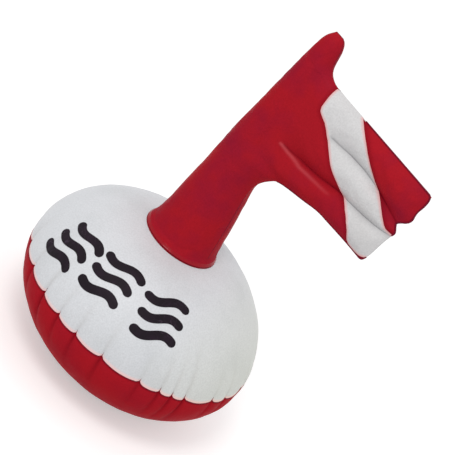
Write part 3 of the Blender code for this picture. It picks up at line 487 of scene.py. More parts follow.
def hull_point(radius, rise, lobe, share, lift=0.0):
    """A point of the hull's skin from its level and its place in a lobe, 0 at one fold and 1 at the next."""
    azimuth = LOBE_START + math.radians(lobe_starts[lobe] + LOBE_WIDTHS[lobe] * share)
    own = lobe_size(lobe)
    before, after = (own + lobe_size(lobe - 1)) / 2.0, (own + lobe_size(lobe + 1)) / 2.0
    size = own + (before - own) * max(0.0, 1.0 - 3.0 * share) + (after - own) * max(0.0, 3.0 * share - 2.0)
    size = min(size, WIDEST_LOBE)
    bow = 4.0 * share * (1.0 - share)
    level = abs(rise)
    fade = max(0.0, 1.0 - level / PUCKER_REACH) ** 2
    fold, from_fold = nearest_fold(lobe, share)
    valley = math.exp(-(from_fold / (FOLD_WIDTH + FOLD_SPREAD * level)) ** 2)
    valley *= FOLD_DEPTH * fold_strength[fold] * max(0.0, 1.0 - level / fold_reach[fold]) ** FOLD_FADE
    tooth = TOOTH_HEIGHT * math.exp(-from_fold / TOOTH_WIDTH) * math.exp(-level / TOOTH_REACH)
    tuck = TUCK_DEPTH * math.exp(-level / TUCK_REACH)
    radius -= PUCKER_DEPTH * size * (1.0 - bow) * fade + valley + tuck
    height = rise + PUCKER_SAG * size * (0.5 - bow) * fade + tooth
    centre = hull_centre + lean_way * HULL_LEAN * rise
    place = centre + Vector((math.cos(azimuth), math.sin(azimuth), 0.0)) * radius
    place.z = SEAM_HEIGHT + height + lift
    return place


# %% [markdown]
# ## Hull panels
# Each panel is its profile, carried round the rim through the function above. The rows lie close together at
# the seam, where the puckers are, and far apart at the crown. The profile is drawn as a line of points with
# rounded corners, then cut into rows by its length. A wall is added at the end, towards the inside. The skins
# also carry two attributes for the finish: how dark the film is at the weld, together with painted shade in
# the folds, and how much red shows through the white panel's edge.

# %% A profile with rounded corners, cut into rows
CORNER_STEPS = 8


def rounded(points, cuts):
    """A line of points whose corners with a cut become short curves."""
    line = [points[0]]
    for before, corner, after, cut in zip(points, points[1:], points[2:], cuts):
        if not cut:
            line.append(corner)
            continue
        start = corner + (before - corner).normalized() * cut
        end = corner + (after - corner).normalized() * cut
        for step in range(CORNER_STEPS + 1):
            part = step / CORNER_STEPS
            line.append(start.lerp(corner, part).lerp(corner.lerp(end, part), part))
    return line + [points[-1]]


def in_rows(line, count, crowding):
    """Rows along a line, closer together at its start."""
    lengths = [0.0]
    for start, end in zip(line, line[1:]):
        lengths.append(lengths[-1] + (end - start).length)
    rows = []
    for row in range(count + 1):
        wanted = lengths[-1] * (row / count) ** crowding
        at = next((n for n in range(1, len(lengths)) if lengths[n] >= wanted - 1e-9), len(lengths) - 1)
        part = (wanted - lengths[at - 1]) / (lengths[at] - lengths[at - 1])
        rows.append(line[at - 1].lerp(line[at], part))
    return rows


# %% Both profiles
SEAT_RADIUS, SEAT_CROWN, SEAT_CORE = 0.060, 0.0025, 0.030
FOOT_OUTER, FOOT_INNER, HOLLOW_RADIUS, HOLLOW_CORE, HOLLOW_HEIGHT = 0.088, 0.064, 0.040, 0.030, 0.014
DOME_END, FACET_START = math.radians(48.0), math.radians(58.0)
CROWN_ROUNDING, FOOT_CUT, SMALL_CUT = 0.98, 0.010, 0.004


def dome(angle, height):
    return Vector((HULL_RADIUS * math.cos(angle), height * math.sin(angle)))


seat_edge, seat_middle = Vector((SEAT_RADIUS, SEAT_RISE)), Vector((SEAT_CORE, SEAT_RISE + SEAT_CROWN))
upper_line = [dome(math.radians(3.0 * step), UPPER_RISE) for step in range(17)]
slope = Vector((-HULL_RADIUS * math.sin(DOME_END), UPPER_RISE * math.cos(DOME_END))).normalized()
facet = (seat_edge - dome(FACET_START, UPPER_RISE)).normalized()
gap = seat_edge - upper_line[-1]
along = (gap.x * facet.y - gap.y * facet.x) / (slope.x * facet.y - slope.y * facet.x)
corner = upper_line[-1] + slope * along
upper_line = rounded(upper_line + [corner, seat_edge, seat_middle],
                     [0.0] * 16 + [along * CROWN_ROUNDING, SMALL_CUT])
lower_line = [dome(math.radians(-4.0 * step), LOWER_DROP) for step in range(15)]
lower_line += [Vector((radius, height - SEAM_HEIGHT)) for radius, height in (
    (FOOT_OUTER, 0.0), (FOOT_INNER, 0.0), (HOLLOW_RADIUS, HOLLOW_HEIGHT), (HOLLOW_CORE, HOLLOW_HEIGHT))]
lower_line = rounded(lower_line, [0.0] * 14 + [FOOT_CUT, SMALL_CUT, SMALL_CUT])
print("profiles:", len(upper_line), "and", len(lower_line), "points")


# %% Panels from rows
LOBE_STEPS = 14
WRINKLE_HEIGHT, BROAD_WRINKLES, FINE_WRINKLES, BROAD_SHARE, FINE_SHARE = 0.0012, 26.0, 60.0, 0.5, 0.2
CALM_RIM, CALM_CROWN, CALM_FADE = 0.02, 0.095, 0.03
SHADE_WIDTH, SHADE_SPREAD = 0.0026, 0.05
BORDER_REACH, BORDER_STRENGTH = 0.0070, 1.6


def wrinkled(place, row):
    """Moves a place of the skin in or out a little, but not at the rim or under the mast's foot."""
    wave = noise.noise(place * BROAD_WRINKLES) * BROAD_SHARE
    wave += noise.noise(place * FINE_WRINKLES) * FINE_SHARE
    calm = min(1.0, abs(row.y) / CALM_RIM) * min(1.0, max(0.0, row.x - CALM_CROWN) / CALM_FADE)
    out = (place - hull_centre - Vector((0.0, 0.0, SEAM_HEIGHT))).normalized()
    return place + out * wave * WRINKLE_HEIGHT * calm


def fold_shade(level, lobe, share):
    """How far a place lies in a fold, from 0 to 1, for the painted shade that darkens the fold."""
    fold, from_fold = nearest_fold(lobe, share)
    fade = max(0.0, 1.0 - level / fold_reach[fold])
    return fold_strength[fold] * fade * math.exp(-(from_fold / (SHADE_WIDTH + SHADE_SPREAD * level)) ** 2)


def hull_skin(rows, lift, weld_reach, darkness):
    """An open skin through the rows, closed by one point in the middle, with its weld, painted fold shade and
    border.
    """
    bm = bmesh.new()
    weld, border_and_painted_highlight = bm.verts.layers.float.new("weld"), bm.verts.layers.float.new("border_and_painted_highlight")
    rings = []
    for number, row in enumerate(rows):
        edge = min(1.0, BORDER_STRENGTH * max(0.0, 1.0 - row.y / BORDER_REACH)) if lift > 0.0 else 0.0
        rings.append([])
        for lobe in range(LOBES):
            for share in (step / LOBE_STEPS for step in range(LOBE_STEPS)):
                place = hull_point(row.x, row.y, lobe, share, lift if number == 0 else 0.0)
                vert = bm.verts.new(wrinkled(place, row))
                # Painted shade in the folds, stronger on the red panel than on the white.
                shade = darkness * fold_shade(abs(row.y), lobe, share)
                vert[weld] = max(shade, 1.0 - abs(row.y) / weld_reach)
                vert[border_and_painted_highlight] = edge
                rings[-1].append(vert)
    quads(bm, rings, closed=True)
    last = rings[-1]
    pole = bm.verts.new(sum((vert.co for vert in last), Vector()) / len(last))
    for here, after in zip(last, last[1:] + last[:1]):
        bm.faces.new((here, after, pole))
    if lift < 0.0:
        bmesh.ops.reverse_faces(bm, faces=bm.faces)
    bm.normal_update()
    return bm


# darkness sets how strong the painted shade in the folds is on each panel.
upper_bm = hull_skin(in_rows(upper_line, 46, 1.45), CLEARANCE, weld_reach=0.0022, darkness=0.30)
lower_bm = hull_skin(in_rows(lower_line, 44, 1.35), -CLEARANCE, weld_reach=0.0030, darkness=0.65)
print("hull skins:", len(upper_bm.faces), "and", len(lower_bm.faces), "faces")


# %% [markdown]
# ## Valve places
# Both valves sit where the photograph doesn't look: behind the hull's crown and behind the mast. Their axes
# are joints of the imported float, so their places are read from there: the stem slides along the valve's
# axis, and the plug's hinge gives a point at a known distance from it.

# %% Frames of the two valves
PLUG_HINGE_OFFSET, PLUG_HINGE_HEIGHT = 0.009, 0.0021
joints = {joint["name"]: joint for joint in frame["joints"]}


def valve_frame(prefix):
    """Z out of the film, X to the plug's hinge, origin where the stem's rim meets the flange."""
    z_way = Vector(joints[prefix + "_stem_slide"]["axis"]).normalized()
    y_way = Vector(joints[prefix + "_plug_hinge"]["axis"]).normalized()
    x_way = y_way.cross(z_way)
    made = Matrix((x_way, y_way, z_way)).transposed().to_4x4()
    made.translation = (Vector(joints[prefix + "_plug_hinge"]["pos_m"])
                        - x_way * PLUG_HINGE_OFFSET - z_way * PLUG_HINGE_HEIGHT)
    return made


hull_valve, mast_valve = valve_frame("hull_valve"), valve_frame("mast_valve")
print("valves at", hull_valve.translation, mast_valve.translation)


# %% A hole in the film for a valve
VALVE_FLANGE, FLANGE_FILM, VALVE_HOLE = 0.019, 0.0008, 0.0128
NEAR_VALVE, SEAT_BLEND, FLANGE_CURVE, HOLE_REACH = 0.02, 0.6, 0.36, 1.6


def ease(value):
    """A soft step from 0 to 1."""
    value = min(max(value, 0.0), 1.0)
    return value * value * (3.0 - 2.0 * value)


def cut_hole(bm, at):
    """Takes the faces near a valve's axis out of a skin."""
    back = at.inverted()
    middles = [(face, back @ face.calc_center_median()) for face in bm.faces]
    inside = [face for face, middle in middles
              if math.hypot(*middle.xy) < VALVE_HOLE and abs(middle.z) < NEAR_VALVE]
    bmesh.ops.delete(bm, geom=inside, context="FACES")


def valve_seat(bm, at, height):
    """Flattens a skin under a valve's flange to a height on the valve's axis and opens a round hole."""
    back = at.inverted()
    for vert in bm.verts:
        local = back @ vert.co
        out = math.hypot(local.x, local.y)
        if out < VALVE_FLANGE * (1.0 + SEAT_BLEND) and abs(local.z) < NEAR_VALVE:
            part = ease((VALVE_FLANGE * (1.0 + SEAT_BLEND) - out) / (VALVE_FLANGE * SEAT_BLEND))
            local.z += (height - out * out / FLANGE_CURVE - local.z) * part
            vert.co = at @ local
    cut_hole(bm, at)
    for vert in bm.verts:
        if vert.is_boundary:
            local = back @ vert.co
            out = math.hypot(local.x, local.y)
            if 0.0 < out < VALVE_HOLE * HOLE_REACH and abs(local.z) < NEAR_VALVE:
                local.x, local.y = local.x * VALVE_HOLE / out, local.y * VALVE_HOLE / out
                vert.co = at @ local
    bm.normal_update()


valve_seat(upper_bm, hull_valve, -FLANGE_FILM - 2.0 * CLEARANCE)
upper_skin = BVHTree.FromBMesh(upper_bm)
upper_panel = walled(from_bmesh("hull_top", upper_bm), FILM, -1.0)
lower_panel = walled(from_bmesh("hull_bottom", lower_bm), FILM, -1.0)
dress(upper_panel, white_film, "white_pvc", "float", "upper_hull_panel")
dress(lower_panel, hull_red, "red_pvc", "float", "lower_hull_panel")


# %% Band inside the rim
# The real float has a band of film welded behind the seam. It can't be seen, and it still follows the rim.
BAND_RISES, BAND_STEPS, BAND_GAP = (0.008, 0.004, 0.0, -0.004, -0.008), 6, 0.0010


def rim_band():
    bm = bmesh.new()
    rings = []
    for rise in BAND_RISES:
        height = UPPER_RISE if rise > 0.0 else LOWER_DROP
        radius = HULL_RADIUS * math.sqrt(1.0 - (rise / height) ** 2) - FILM - CLEARANCE - BAND_GAP
        rings.append([bm.verts.new(hull_point(radius, rise, lobe, step / BAND_STEPS))
                      for lobe in range(LOBES) for step in range(BAND_STEPS)])
    quads(bm, rings, closed=True, flipped=True)
    return walled(from_bmesh("rim_band", bm), FILM, -1.0)


dress(rim_band(), white_film, "white_pvc", "float", "rim_seam_tape")

# %% [markdown]
# ## Sweeps and repeats with Geometry Nodes
# A weld line, an edge bead, a wire ring: each is a round section carried along a path. One node tree does
# them all. Its named inputs are the section's radius, how many sides it has and how uneven the path runs.
# A second tree sets a small folded tooth on each point of a cloud and turns it to face outwards.

# %% Building and running a tree
def geometry_tree(name, inputs):
    """A geometry node tree with named inputs, and its two end nodes."""
    tree = bpy.data.node_groups.new(name, "GeometryNodeTree")
    tree.interface.new_socket("Geometry", in_out="INPUT", socket_type="NodeSocketGeometry")
    for label, (kind, value) in inputs.items():
        socket = tree.interface.new_socket(label, in_out="INPUT", socket_type="NodeSocket" + kind)
        if value is not None:
            socket.default_value = value
    tree.interface.new_socket("Geometry", in_out="OUTPUT", socket_type="NodeSocketGeometry")
    return tree, tree.nodes.new("NodeGroupInput").outputs, tree.nodes.new("NodeGroupOutput").inputs


def finished_tree(tree, given, result, geometry):
    """The tree's last two steps: real copies instead of instances, then the finish."""
    real = joined(tree, "GeometryNodeRealizeInstances", {"Geometry": geometry})
    painted = joined(tree, "GeometryNodeSetMaterial", {
        "Geometry": real.outputs[0], "Material": given["Finish"]})
    tree.links.new(painted.outputs[0], result[0])


def grown(name, seed_mesh, tree, **values):
    """Runs a tree on a seed mesh and keeps the result as a plain mesh."""
    piece = linked(name, seed_mesh)
    step = piece.modifiers.new("grow", "NODES")
    step.node_group = tree
    for socket in tree.interface.items_tree:
        if socket.item_type == "SOCKET" and socket.in_out == "INPUT" and socket.name in values:
            step[socket.identifier] = values[socket.name]
    return plain(piece)


# %% The sweep tree
sweep, given, result = geometry_tree("round_sweep", {
    "Radius": ("Float", 0.001), "Sides": ("Int", 10), "Unevenness": ("Float", 0.0),
    "Seed": ("Float", 3.0), "Finish": ("Material", None)})
path = joined(sweep, "GeometryNodeMeshToCurve", {"Mesh": given["Geometry"]})
wander = joined(sweep, "ShaderNodeTexNoise", {"Scale": 55.0, "W": given["Seed"]}, noise_dimensions="4D")
centred = joined(sweep, "ShaderNodeVectorMath", {0: wander.outputs["Color"], 1: (0.5, 0.5, 0.5)},
                 operation="SUBTRACT")
shift = scaled(sweep, centred.outputs[0], given["Unevenness"])
moved = joined(sweep, "GeometryNodeSetPosition", {"Geometry": path.outputs[0], "Offset": shift})
section = joined(sweep, "GeometryNodeCurvePrimitiveCircle", {
    "Resolution": given["Sides"], "Radius": given["Radius"]})
tube = joined(sweep, "GeometryNodeCurveToMesh", {
    "Curve": moved.outputs[0], "Profile Curve": section.outputs[0], "Fill Caps": True})
finished_tree(sweep, given, result, tube.outputs[0])


def path_mesh(name, points, closed):
    """A line of vertices and edges for a tree to follow."""
    mesh = bpy.data.meshes.new(name)
    edges = [(number, number + 1) for number in range(len(points) - 1)]
    if closed:
        edges.append((len(points) - 1, 0))
    mesh.from_pydata([tuple(point) for point in points], edges, [])
    return mesh


# %% The weld line in the seam
WELD_RADIUS, WELD_SUNK, WELD_STEPS = 0.0009, 0.2, 12
rim_line = [hull_point(HULL_RADIUS - WELD_RADIUS * WELD_SUNK, 0.0, lobe, step / WELD_STEPS)
            for lobe in range(LOBES) for step in range(WELD_STEPS)]
rim_weld = grown("rim_weld", path_mesh("rim_line", rim_line, True), sweep, Radius=WELD_RADIUS, Sides=8,
                 Unevenness=0.0004, Seed=5.0, Finish=weld_red)
dress(rim_weld, weld_red, "red_pvc", "float", crisp=80.0)

# %% [markdown]
# ## Red teeth at the folds
# At each fold the red panel is pinched up over the weld as a small tooth, coloured dark red as painted shade
# in the fold. There are as many teeth as folds, each with its own size, so they are instances on points: a
# cone with few sides, flattened, its tip up along the white panel.

# %% The tooth tree
teeth, given, result = geometry_tree("fold_teeth", {
    "Length": ("Float", 0.006), "Width": ("Float", 0.0022), "Flatness": ("Float", 0.5),
    "Finish": ("Material", None)})
cone = joined(teeth, "GeometryNodeMeshCone", {
    "Vertices": 10, "Side Segments": 4, "Radius Top": 0.0001, "Radius Bottom": given["Width"],
    "Depth": given["Length"]})
flat = joined(teeth, "ShaderNodeCombineXYZ", {"X": given["Flatness"], "Y": 1.0, "Z": 1.0})
squashed = joined(teeth, "GeometryNodeTransform", {"Geometry": cone.outputs[0], "Scale": flat.outputs[0]})
tip_way, face_way, size = (
    joined(teeth, "GeometryNodeInputNamedAttribute", {"Name": label}, data_type=kind).outputs[0]
    for label, kind in (("tip_way", "FLOAT_VECTOR"), ("face_way", "FLOAT_VECTOR"), ("size", "FLOAT")))
stand = joined(teeth, "FunctionNodeAlignRotationToVector", {"Vector": tip_way}, axis="Z")
faced = joined(teeth, "FunctionNodeAlignRotationToVector", {
    "Rotation": stand.outputs[0], "Vector": face_way}, axis="X", pivot_axis="Z")
cloud = joined(teeth, "GeometryNodeMeshToPoints", {"Mesh": given["Geometry"]})
copies = joined(teeth, "GeometryNodeInstanceOnPoints", {
    "Points": cloud.outputs[0], "Instance": squashed.outputs[0], "Rotation": faced.outputs[0], "Scale": size})
finished_tree(teeth, given, result, copies.outputs[0])

# %% One tooth on each fold
TOOTH_RISE, SMALLEST_TOOTH, TOOTH_GROWTH = 0.10, 0.65, 0.45
tooth_points = bpy.data.meshes.new("fold_points")
above_rim = dome(math.radians(3.0), UPPER_RISE)
places, tips, faces_out, sizes = [], [], [], []
for lobe in range(LOBES):
    low, high = hull_point(HULL_RADIUS, 0.0, lobe, 0.0), hull_point(above_rim.x, above_rim.y, lobe, 0.0)
    azimuth = LOBE_START + math.radians(lobe_starts[lobe])
    places.append(low.lerp(high, TOOTH_RISE))
    tips.append((high - low).normalized())
    faces_out.append(Vector((math.cos(azimuth), math.sin(azimuth), 0.0)))
    sizes.append(SMALLEST_TOOTH + TOOTH_GROWTH * fold_strength[lobe])
tooth_points.from_pydata([tuple(place) for place in places], [], [])
for label, values in (("tip_way", tips), ("face_way", faces_out)):
    layer = tooth_points.attributes.new(label, "FLOAT_VECTOR", "POINT")
    layer.data.foreach_set("vector", [part for value in values for part in value])
tooth_points.attributes.new("size", "FLOAT", "POINT").data.foreach_set("value", sizes)
# The teeth are dark as painted shade in the folds.
rim_teeth = grown("rim_teeth", tooth_points, teeth, Length=0.0062, Width=0.0019, Flatness=0.55,
                  Finish=weld_red)
dress(rim_teeth, weld_red, "red_pvc", "float")

# %% [markdown]
# ## Mast and flag as one sheet
# Front and back of mast and flag are cut from film in one piece, welded round the outline, and two more welds
# across the flag make three tubes of it. A coarse cage gives that form: rows of points across mast and flag,
# each at its depth. The tubes swell between the welds. A Subdivision Surface modifier then rounds the cage,
# and creased edges hold the welds.

# %% Sizes of mast and flag
MAST_HEIGHT = 0.4145
MAST_BASE_RADIUS = 0.0575
MAST_TIP_HALF_WIDTH = 0.008
MAST_TAPER = (  # share of the height, share of the base radius
    (0.0117, 1.075), (0.019, 1.040), (0.034, 1.004), (0.060, 0.974), (0.100, 0.940), (0.172, 0.887),
    (0.244, 0.826), (0.309, 0.774), (0.364, 0.730), (0.405, 0.704), (0.439, 0.687), (0.473, 0.670),
    (0.565, 0.609), (0.740, 0.505), (0.863, 0.409), (0.881, 0.391), (0.922, 0.358), (0.955, 0.320),
    (0.977, 0.265), (0.992, 0.180),
)
MAST_SHIFTS = (  # share of the height, share of the base shift
    (0.100, 1.00), (0.172, 0.80), (0.244, 0.56), (0.309, 0.31), (0.364, 0.14), (0.405, 0.05), (0.439, 0.00),
)
LOWER_ROWS = (0.0117, 0.019, 0.034, 0.060, 0.100, 0.172, 0.244, 0.309, 0.364, 0.405, 0.439)
UPPER_ROWS = (0.872, 0.890, 0.922, 0.955, 0.977, 0.992)
FLARES = {0.364: 0.162, 0.405: 0.187, 0.439: 0.227, 0.872: 0.122, 0.890: 0.086}
FLAG_REACH, FLAG_BOTTOM, FLAG_HEIGHT = 0.278, 0.4764, 0.1430
TUBE_HALF, TUBE_FULLNESS, FLY_ROUNDING = 0.0140, 0.27, 0.030
WEB_START, WEBS, BOTTOM_CORNER, TOP_CORNERS = 0.086, (0.158, 0.245), 0.259, (0.130, 0.190)
COLUMNS = (0.14, 0.29, 0.44, 0.59, 0.73, 0.85, 0.94, 1.0)
mast_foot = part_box("mast_front_sheet")[0][2]
mast_tip = mast_foot + MAST_HEIGHT
print("mast foot at", round(mast_foot, 4), "m, tip at", round(mast_tip, 4), "m")

# %% Lines across the flag, as shares of its reach and of its height
BOTTOM_EDGE = ((0.086, -0.130), (0.180, -0.150), (0.259, -0.170), (0.378, -0.108), (0.493, -0.066),
               (0.543, -0.029), (0.627, -0.024), (0.708, -0.012), (0.813, -0.006), (1.000, -0.004))
LOWER_WELD = ((0.122, 0.200), (0.216, 0.190), (0.302, 0.190), (0.432, 0.222), (0.513, 0.262),
              (0.576, 0.300), (0.682, 0.308), (0.782, 0.334), (0.886, 0.364), (0.941, 0.407),
              (0.968, 0.431))
UPPER_WELD = ((0.108, 0.634), (0.306, 0.641), (0.453, 0.648), (0.637, 0.662), (0.780, 0.615),
              (0.932, 0.550))
TOP_EDGE = ((0.086, 0.985), (0.190, 1.000), (1.000, 1.000))
WELD_STARTS, WELD_RUN_IN = (0.130, 0.310), 0.11
FLY = (0.920, 0.935, 0.939, 0.944, 0.955, 0.962, 0.953, 0.938, 0.926, 0.990, 0.972, 0.984, 0.978)
print("the free edge reaches from", min(FLY), "to", max(FLY), "of the flag's reach")


# %% Rows round the mast
def read(table, share):
    """A value from a table of (share, value) rows, straight between its rows."""
    if share <= table[0][0]:
        return table[0][1]
    for (start, low), (end, high) in zip(table, table[1:]):
        if share <= end:
            return low + (high - low) * (share - start) / (end - start)
    return table[-1][1]


angles = [math.radians(180.0 - 15.0 * column) for column in range(10)] + [math.radians(22.5), 0.0]


def mast_radius(height):
    return MAST_BASE_RADIUS * read(MAST_TAPER, (height - mast_foot) / MAST_HEIGHT)


def mast_row(height, flare=None):
    """One level of the mast's half, drawn out towards the flag where it has a flare."""
    radius = mast_radius(height)
    shift = MAST_BASE_SHIFT * read(MAST_SHIFTS, (height - mast_foot) / MAST_HEIGHT)
    reach = radius if flare is None else FLAG_REACH * flare - shift
    row = []
    for angle in angles:
        side = radius + (reach - radius) * max(0.0, math.cos(angle)) ** 2
        row.append(Vector((shift + side * math.cos(angle), radius * math.sin(angle), height)))
    return row


def mast_rows(shares):
    return [mast_row(mast_foot + MAST_HEIGHT * share, FLARES.get(share)) for share in shares]


tip_row = [Vector((MAST_TIP_HALF_WIDTH * math.cos(angle), 0.0, mast_tip)) for angle in angles]


# %% Rows across the flag
ROUND_POINTS = 10
CORNER_FULLNESS, TUBE_ROUNDNESS = 0.6, 0.65


def flag_height(table, reach_share):
    return FLAG_BOTTOM + FLAG_HEIGHT * read(table, reach_share)


def flag_row(low_edge, high_edge, tube, part, reaches, corner):
    """One line of the sheet: round the mast, then out along the flag to the fly."""
    low, high = flag_height(low_edge, WEB_START), flag_height(high_edge, WEB_START)
    level = low + (high - low) * part
    radius = mast_radius(level)
    row = [Vector((radius * math.cos(angle), radius * math.sin(angle), level))
           for angle in angles[:ROUND_POINTS]]
    mast_depth = row[-1].y
    for number, reach in enumerate(reaches):
        low, high = flag_height(low_edge, reach), flag_height(high_edge, reach)
        web = ease((reach - WEB_START) / (WELD_STARTS[1] - WEB_START))
        body = mast_depth + (min(TUBE_HALF, TUBE_FULLNESS * (high - low)) - mast_depth) * web
        ends = [0.0, 0.0]
        if tube > 0:
            ends[0] = body * (1.0 - ease((reach - WELD_STARTS[tube - 1]) / WELD_RUN_IN))
        if tube < 2:
            ends[1] = body * (1.0 - ease((reach - WELD_STARTS[tube]) / WELD_RUN_IN))
        if corner and number == 0:
            ends = [body * CORNER_FULLNESS, body * CORNER_FULLNESS]
        base = ends[0] + (ends[1] - ends[0]) * part
        depth = base + (body - base) * (4.0 * part * (1.0 - part)) ** TUBE_ROUNDNESS
        depth *= min(1.0, max(0.0, (reaches[-1] - reach) * FLAG_REACH / FLY_ROUNDING)) ** 0.5
        row.append(Vector((FLAG_REACH * reach, depth, low + (high - low) * part)))
    return row


def flag_rows():
    """Thirteen lines from the flag's bottom edge to its top edge."""
    edges = (BOTTOM_EDGE, LOWER_WELD, UPPER_WELD, TOP_EDGE)
    bottom = mast_row(flag_height(BOTTOM_EDGE, WEB_START), BOTTOM_CORNER)
    bottom += [Vector((FLAG_REACH * (BOTTOM_CORNER + (FLY[0] - BOTTOM_CORNER) * share), 0.0, 0.0))
               for share in COLUMNS]
    for place in bottom[ROUND_POINTS - 1:]:
        place.z = flag_height(BOTTOM_EDGE, place.x / FLAG_REACH)
    rows = [bottom]
    for number in range(1, 13):
        tube, step = divmod(number, 4)
        part, shares = 0.25 * step, WEBS
        if number == 12:
            tube, part, shares = 2, 1.0, TOP_CORNERS
        reaches = list(shares) + [shares[1] + (FLY[number] - shares[1]) * share for share in COLUMNS]
        rows.append(flag_row(edges[tube], edges[tube + 1], tube, part, reaches, number == 12))
    return rows


# %% The cage of one sheet
WELD_CREASE = 0.8


def sheet_cage(side):
    """The cage of the front (side -1) or back (side 1) sheet, with creased welds and its held points."""
    bm = bmesh.new()
    hold = bm.verts.layers.float.new("held")
    crease = bm.edges.layers.float.new("crease_edge")
    aside = Vector((mast_axis.x, mast_axis.y, 0.0))

    def points(row):
        return [bm.verts.new(Vector((place.x, side * (place.y + CLEARANCE / 2.0), place.z)) + aside)
                for place in row]

    low = [points(row) for row in mast_rows(LOWER_ROWS)]
    flag = [points(row) for row in flag_rows()]
    high = [points(row) for row in mast_rows(UPPER_ROWS) + [tip_row]]
    quads(bm, low + [flag[0][:len(angles)]])
    quads(bm, flag)
    quads(bm, [flag[-1][:len(angles)]] + high)
    for row, start in zip((flag[4], flag[8]), WELD_STARTS):
        for inner, outer in zip(row[ROUND_POINTS - 1:], row[ROUND_POINTS:]):
            strength = ease((inner.co.x - mast_axis.x - FLAG_REACH * start) / (FLAG_REACH * WELD_RUN_IN))
            bm.edges.get((inner, outer))[crease] = WELD_CREASE * strength
            inner[hold], outer[hold] = max(inner[hold], strength), max(outer[hold], strength)
    if side > 0.0:
        bmesh.ops.reverse_faces(bm, faces=bm.faces)
    for vert in bm.verts:
        if vert.is_boundary:
            vert[hold] = 1.0
    bm.normal_update()
    return bm


# %% [markdown]
# ## Air in the sheets
# The cage is smooth, and film under pressure isn't: along a weld it gathers in short ripples. The cloth
# solver makes these. The sheet is held along its outline and its welds, its rest size is set a little larger
# than its shape, and air pressure pushes it out for twenty frames. No point may move further than a cap, so
# the flag keeps the size of its solid. Before that, the mast's foot is set back on its circle, because a
# collar that is truly round has to fit it.

# %% The mast's round foot
ROUND_UP_TO, ROUND_FADE = 0.27, 0.06


def halved(points):
    """A line after one round of subdivision, by the rule that the modifier follows across a sheet."""
    line = [points[0]]
    for before, here, after in zip(points, points[1:], points[2:]):
        line += [(before + here) / 2.0, (before + 6.0 * here + after) / 8.0]
    return line + [(points[-2] + points[-1]) / 2.0, points[-1]]


half_circle = halved(halved([Vector((math.cos(angle), math.sin(angle))) for angle in angles]))
roundness = [(math.atan2(place.y, place.x), place.length) for place in reversed(half_circle)]


def true_round(piece, side):
    """Subdivision leaves flat strips on the mast beside its open edges. Its points go back on the circle."""
    for vert in piece.data.vertices:
        share = (vert.co.z - mast_foot) / MAST_HEIGHT
        shift = MAST_BASE_SHIFT * read(MAST_SHIFTS, share)
        out = Vector((vert.co.x - mast_axis.x - shift, side * (vert.co.y - mast_axis.y) - CLEARANCE / 2.0))
        part = 1.0 - ease((share - ROUND_UP_TO) / ROUND_FADE)
        grow = (1.0 / read(roundness, math.atan2(out.y, out.x)) - 1.0) * part
        vert.co.x += out.x * grow
        vert.co.y += side * out.y * grow
    return piece


def subdivided(piece, levels):
    smooth = piece.modifiers.new("round", "SUBSURF")
    smooth.levels = smooth.render_levels = levels
    smooth.boundary_smooth = "PRESERVE_CORNERS"
    return plain(piece)


# %% Blowing one sheet up
AIR_FRAMES = 20
AIR = {
    "quality": 6, "mass": 0.2, "tension_stiffness": 25.0, "compression_stiffness": 25.0,
    "shear_stiffness": 8.0, "bending_stiffness": 0.3, "air_damping": 2.0, "vertex_group_mass": "held",
    "use_pressure": True, "uniform_pressure_force": 4.0, "shrink_min": -0.006,
}
HOLD_STRENGTH = 1.2
FLAG_CAP, MAST_CAP = 0.0025, 0.0008
CAP_START, CAP_RUN = 0.035, 0.030


def blown(piece):
    """Runs cloth with air pressure on a sheet and keeps the moves, each within the cap."""
    before = [vert.co.copy() for vert in piece.data.vertices]
    held = piece.vertex_groups.new(name="held")
    for number, item in enumerate(piece.data.attributes["held"].data):
        held.add([number], min(1.0, item.value * HOLD_STRENGTH), "REPLACE")
    cloth = piece.modifiers.new("air", "CLOTH")
    for label, value in AIR.items():
        setattr(cloth.settings, label, value)
    cloth.settings.effector_weights.gravity = 0.0
    cloth.collision_settings.use_collision = False
    cloth.point_cache.frame_start, cloth.point_cache.frame_end = 1, AIR_FRAMES
    for number in range(1, AIR_FRAMES + 1):
        scene.frame_set(number)
    plain(piece)
    scene.frame_set(1)
    furthest = 0.0
    for vert, start in zip(piece.data.vertices, before):
        move = vert.co - start
        furthest = max(furthest, move.length)
        on_flag = ease((start.x - mast_axis.x - CAP_START) / CAP_RUN)
        cap = MAST_CAP + (FLAG_CAP - MAST_CAP) * on_flag
        vert.co = start + move.normalized() * cap * math.tanh(move.length / cap)
    print(piece.name, "moved by up to", round(furthest * 1000.0, 2), "mm")


def sheet_surface(name, side):
    piece = true_round(subdivided(from_bmesh(name, sheet_cage(side)), 2), side)
    blown(piece)
    return subdivided(piece, 1)


sheets = [sheet_surface("mast_and_flag_front", -1.0), sheet_surface("mast_and_flag_back", 1.0)]
front_sheet, back_sheet = sheets
print("sheet faces:", len(front_sheet.data.polygons), len(back_sheet.data.polygons))


# %% Welds and a stretched crest on the sheets
# Each point learns how near it is to a weld, for the darker pressed line in the finish and a wider painted
# shade over the valley beside it, and how near it is to the crest of the lowest tube. The film stands up a
# little there, and a painted highlight makes it paler.
WELD_HALF_WIDTH, WELD_PRESSED = 0.0016, 0.55
WELD_SHADE_WIDTH, WELD_SHADE = 0.010, 0.38
WELD_INSET, WELD_END, CLEAR_OF_MAST = 0.05, 0.98, 0.03
CREST = ((0.165, 0.186), (0.216, 0.160), (0.319, 0.140), (0.432, 0.165), (0.513, 0.188), (0.567, 0.208))
CREST_HALF_WIDTH, CREST_HEIGHT, CREST_PAINTED_HIGHLIGHT, CREST_FADE = 0.0021, 0.0008, 0.5, 0.6


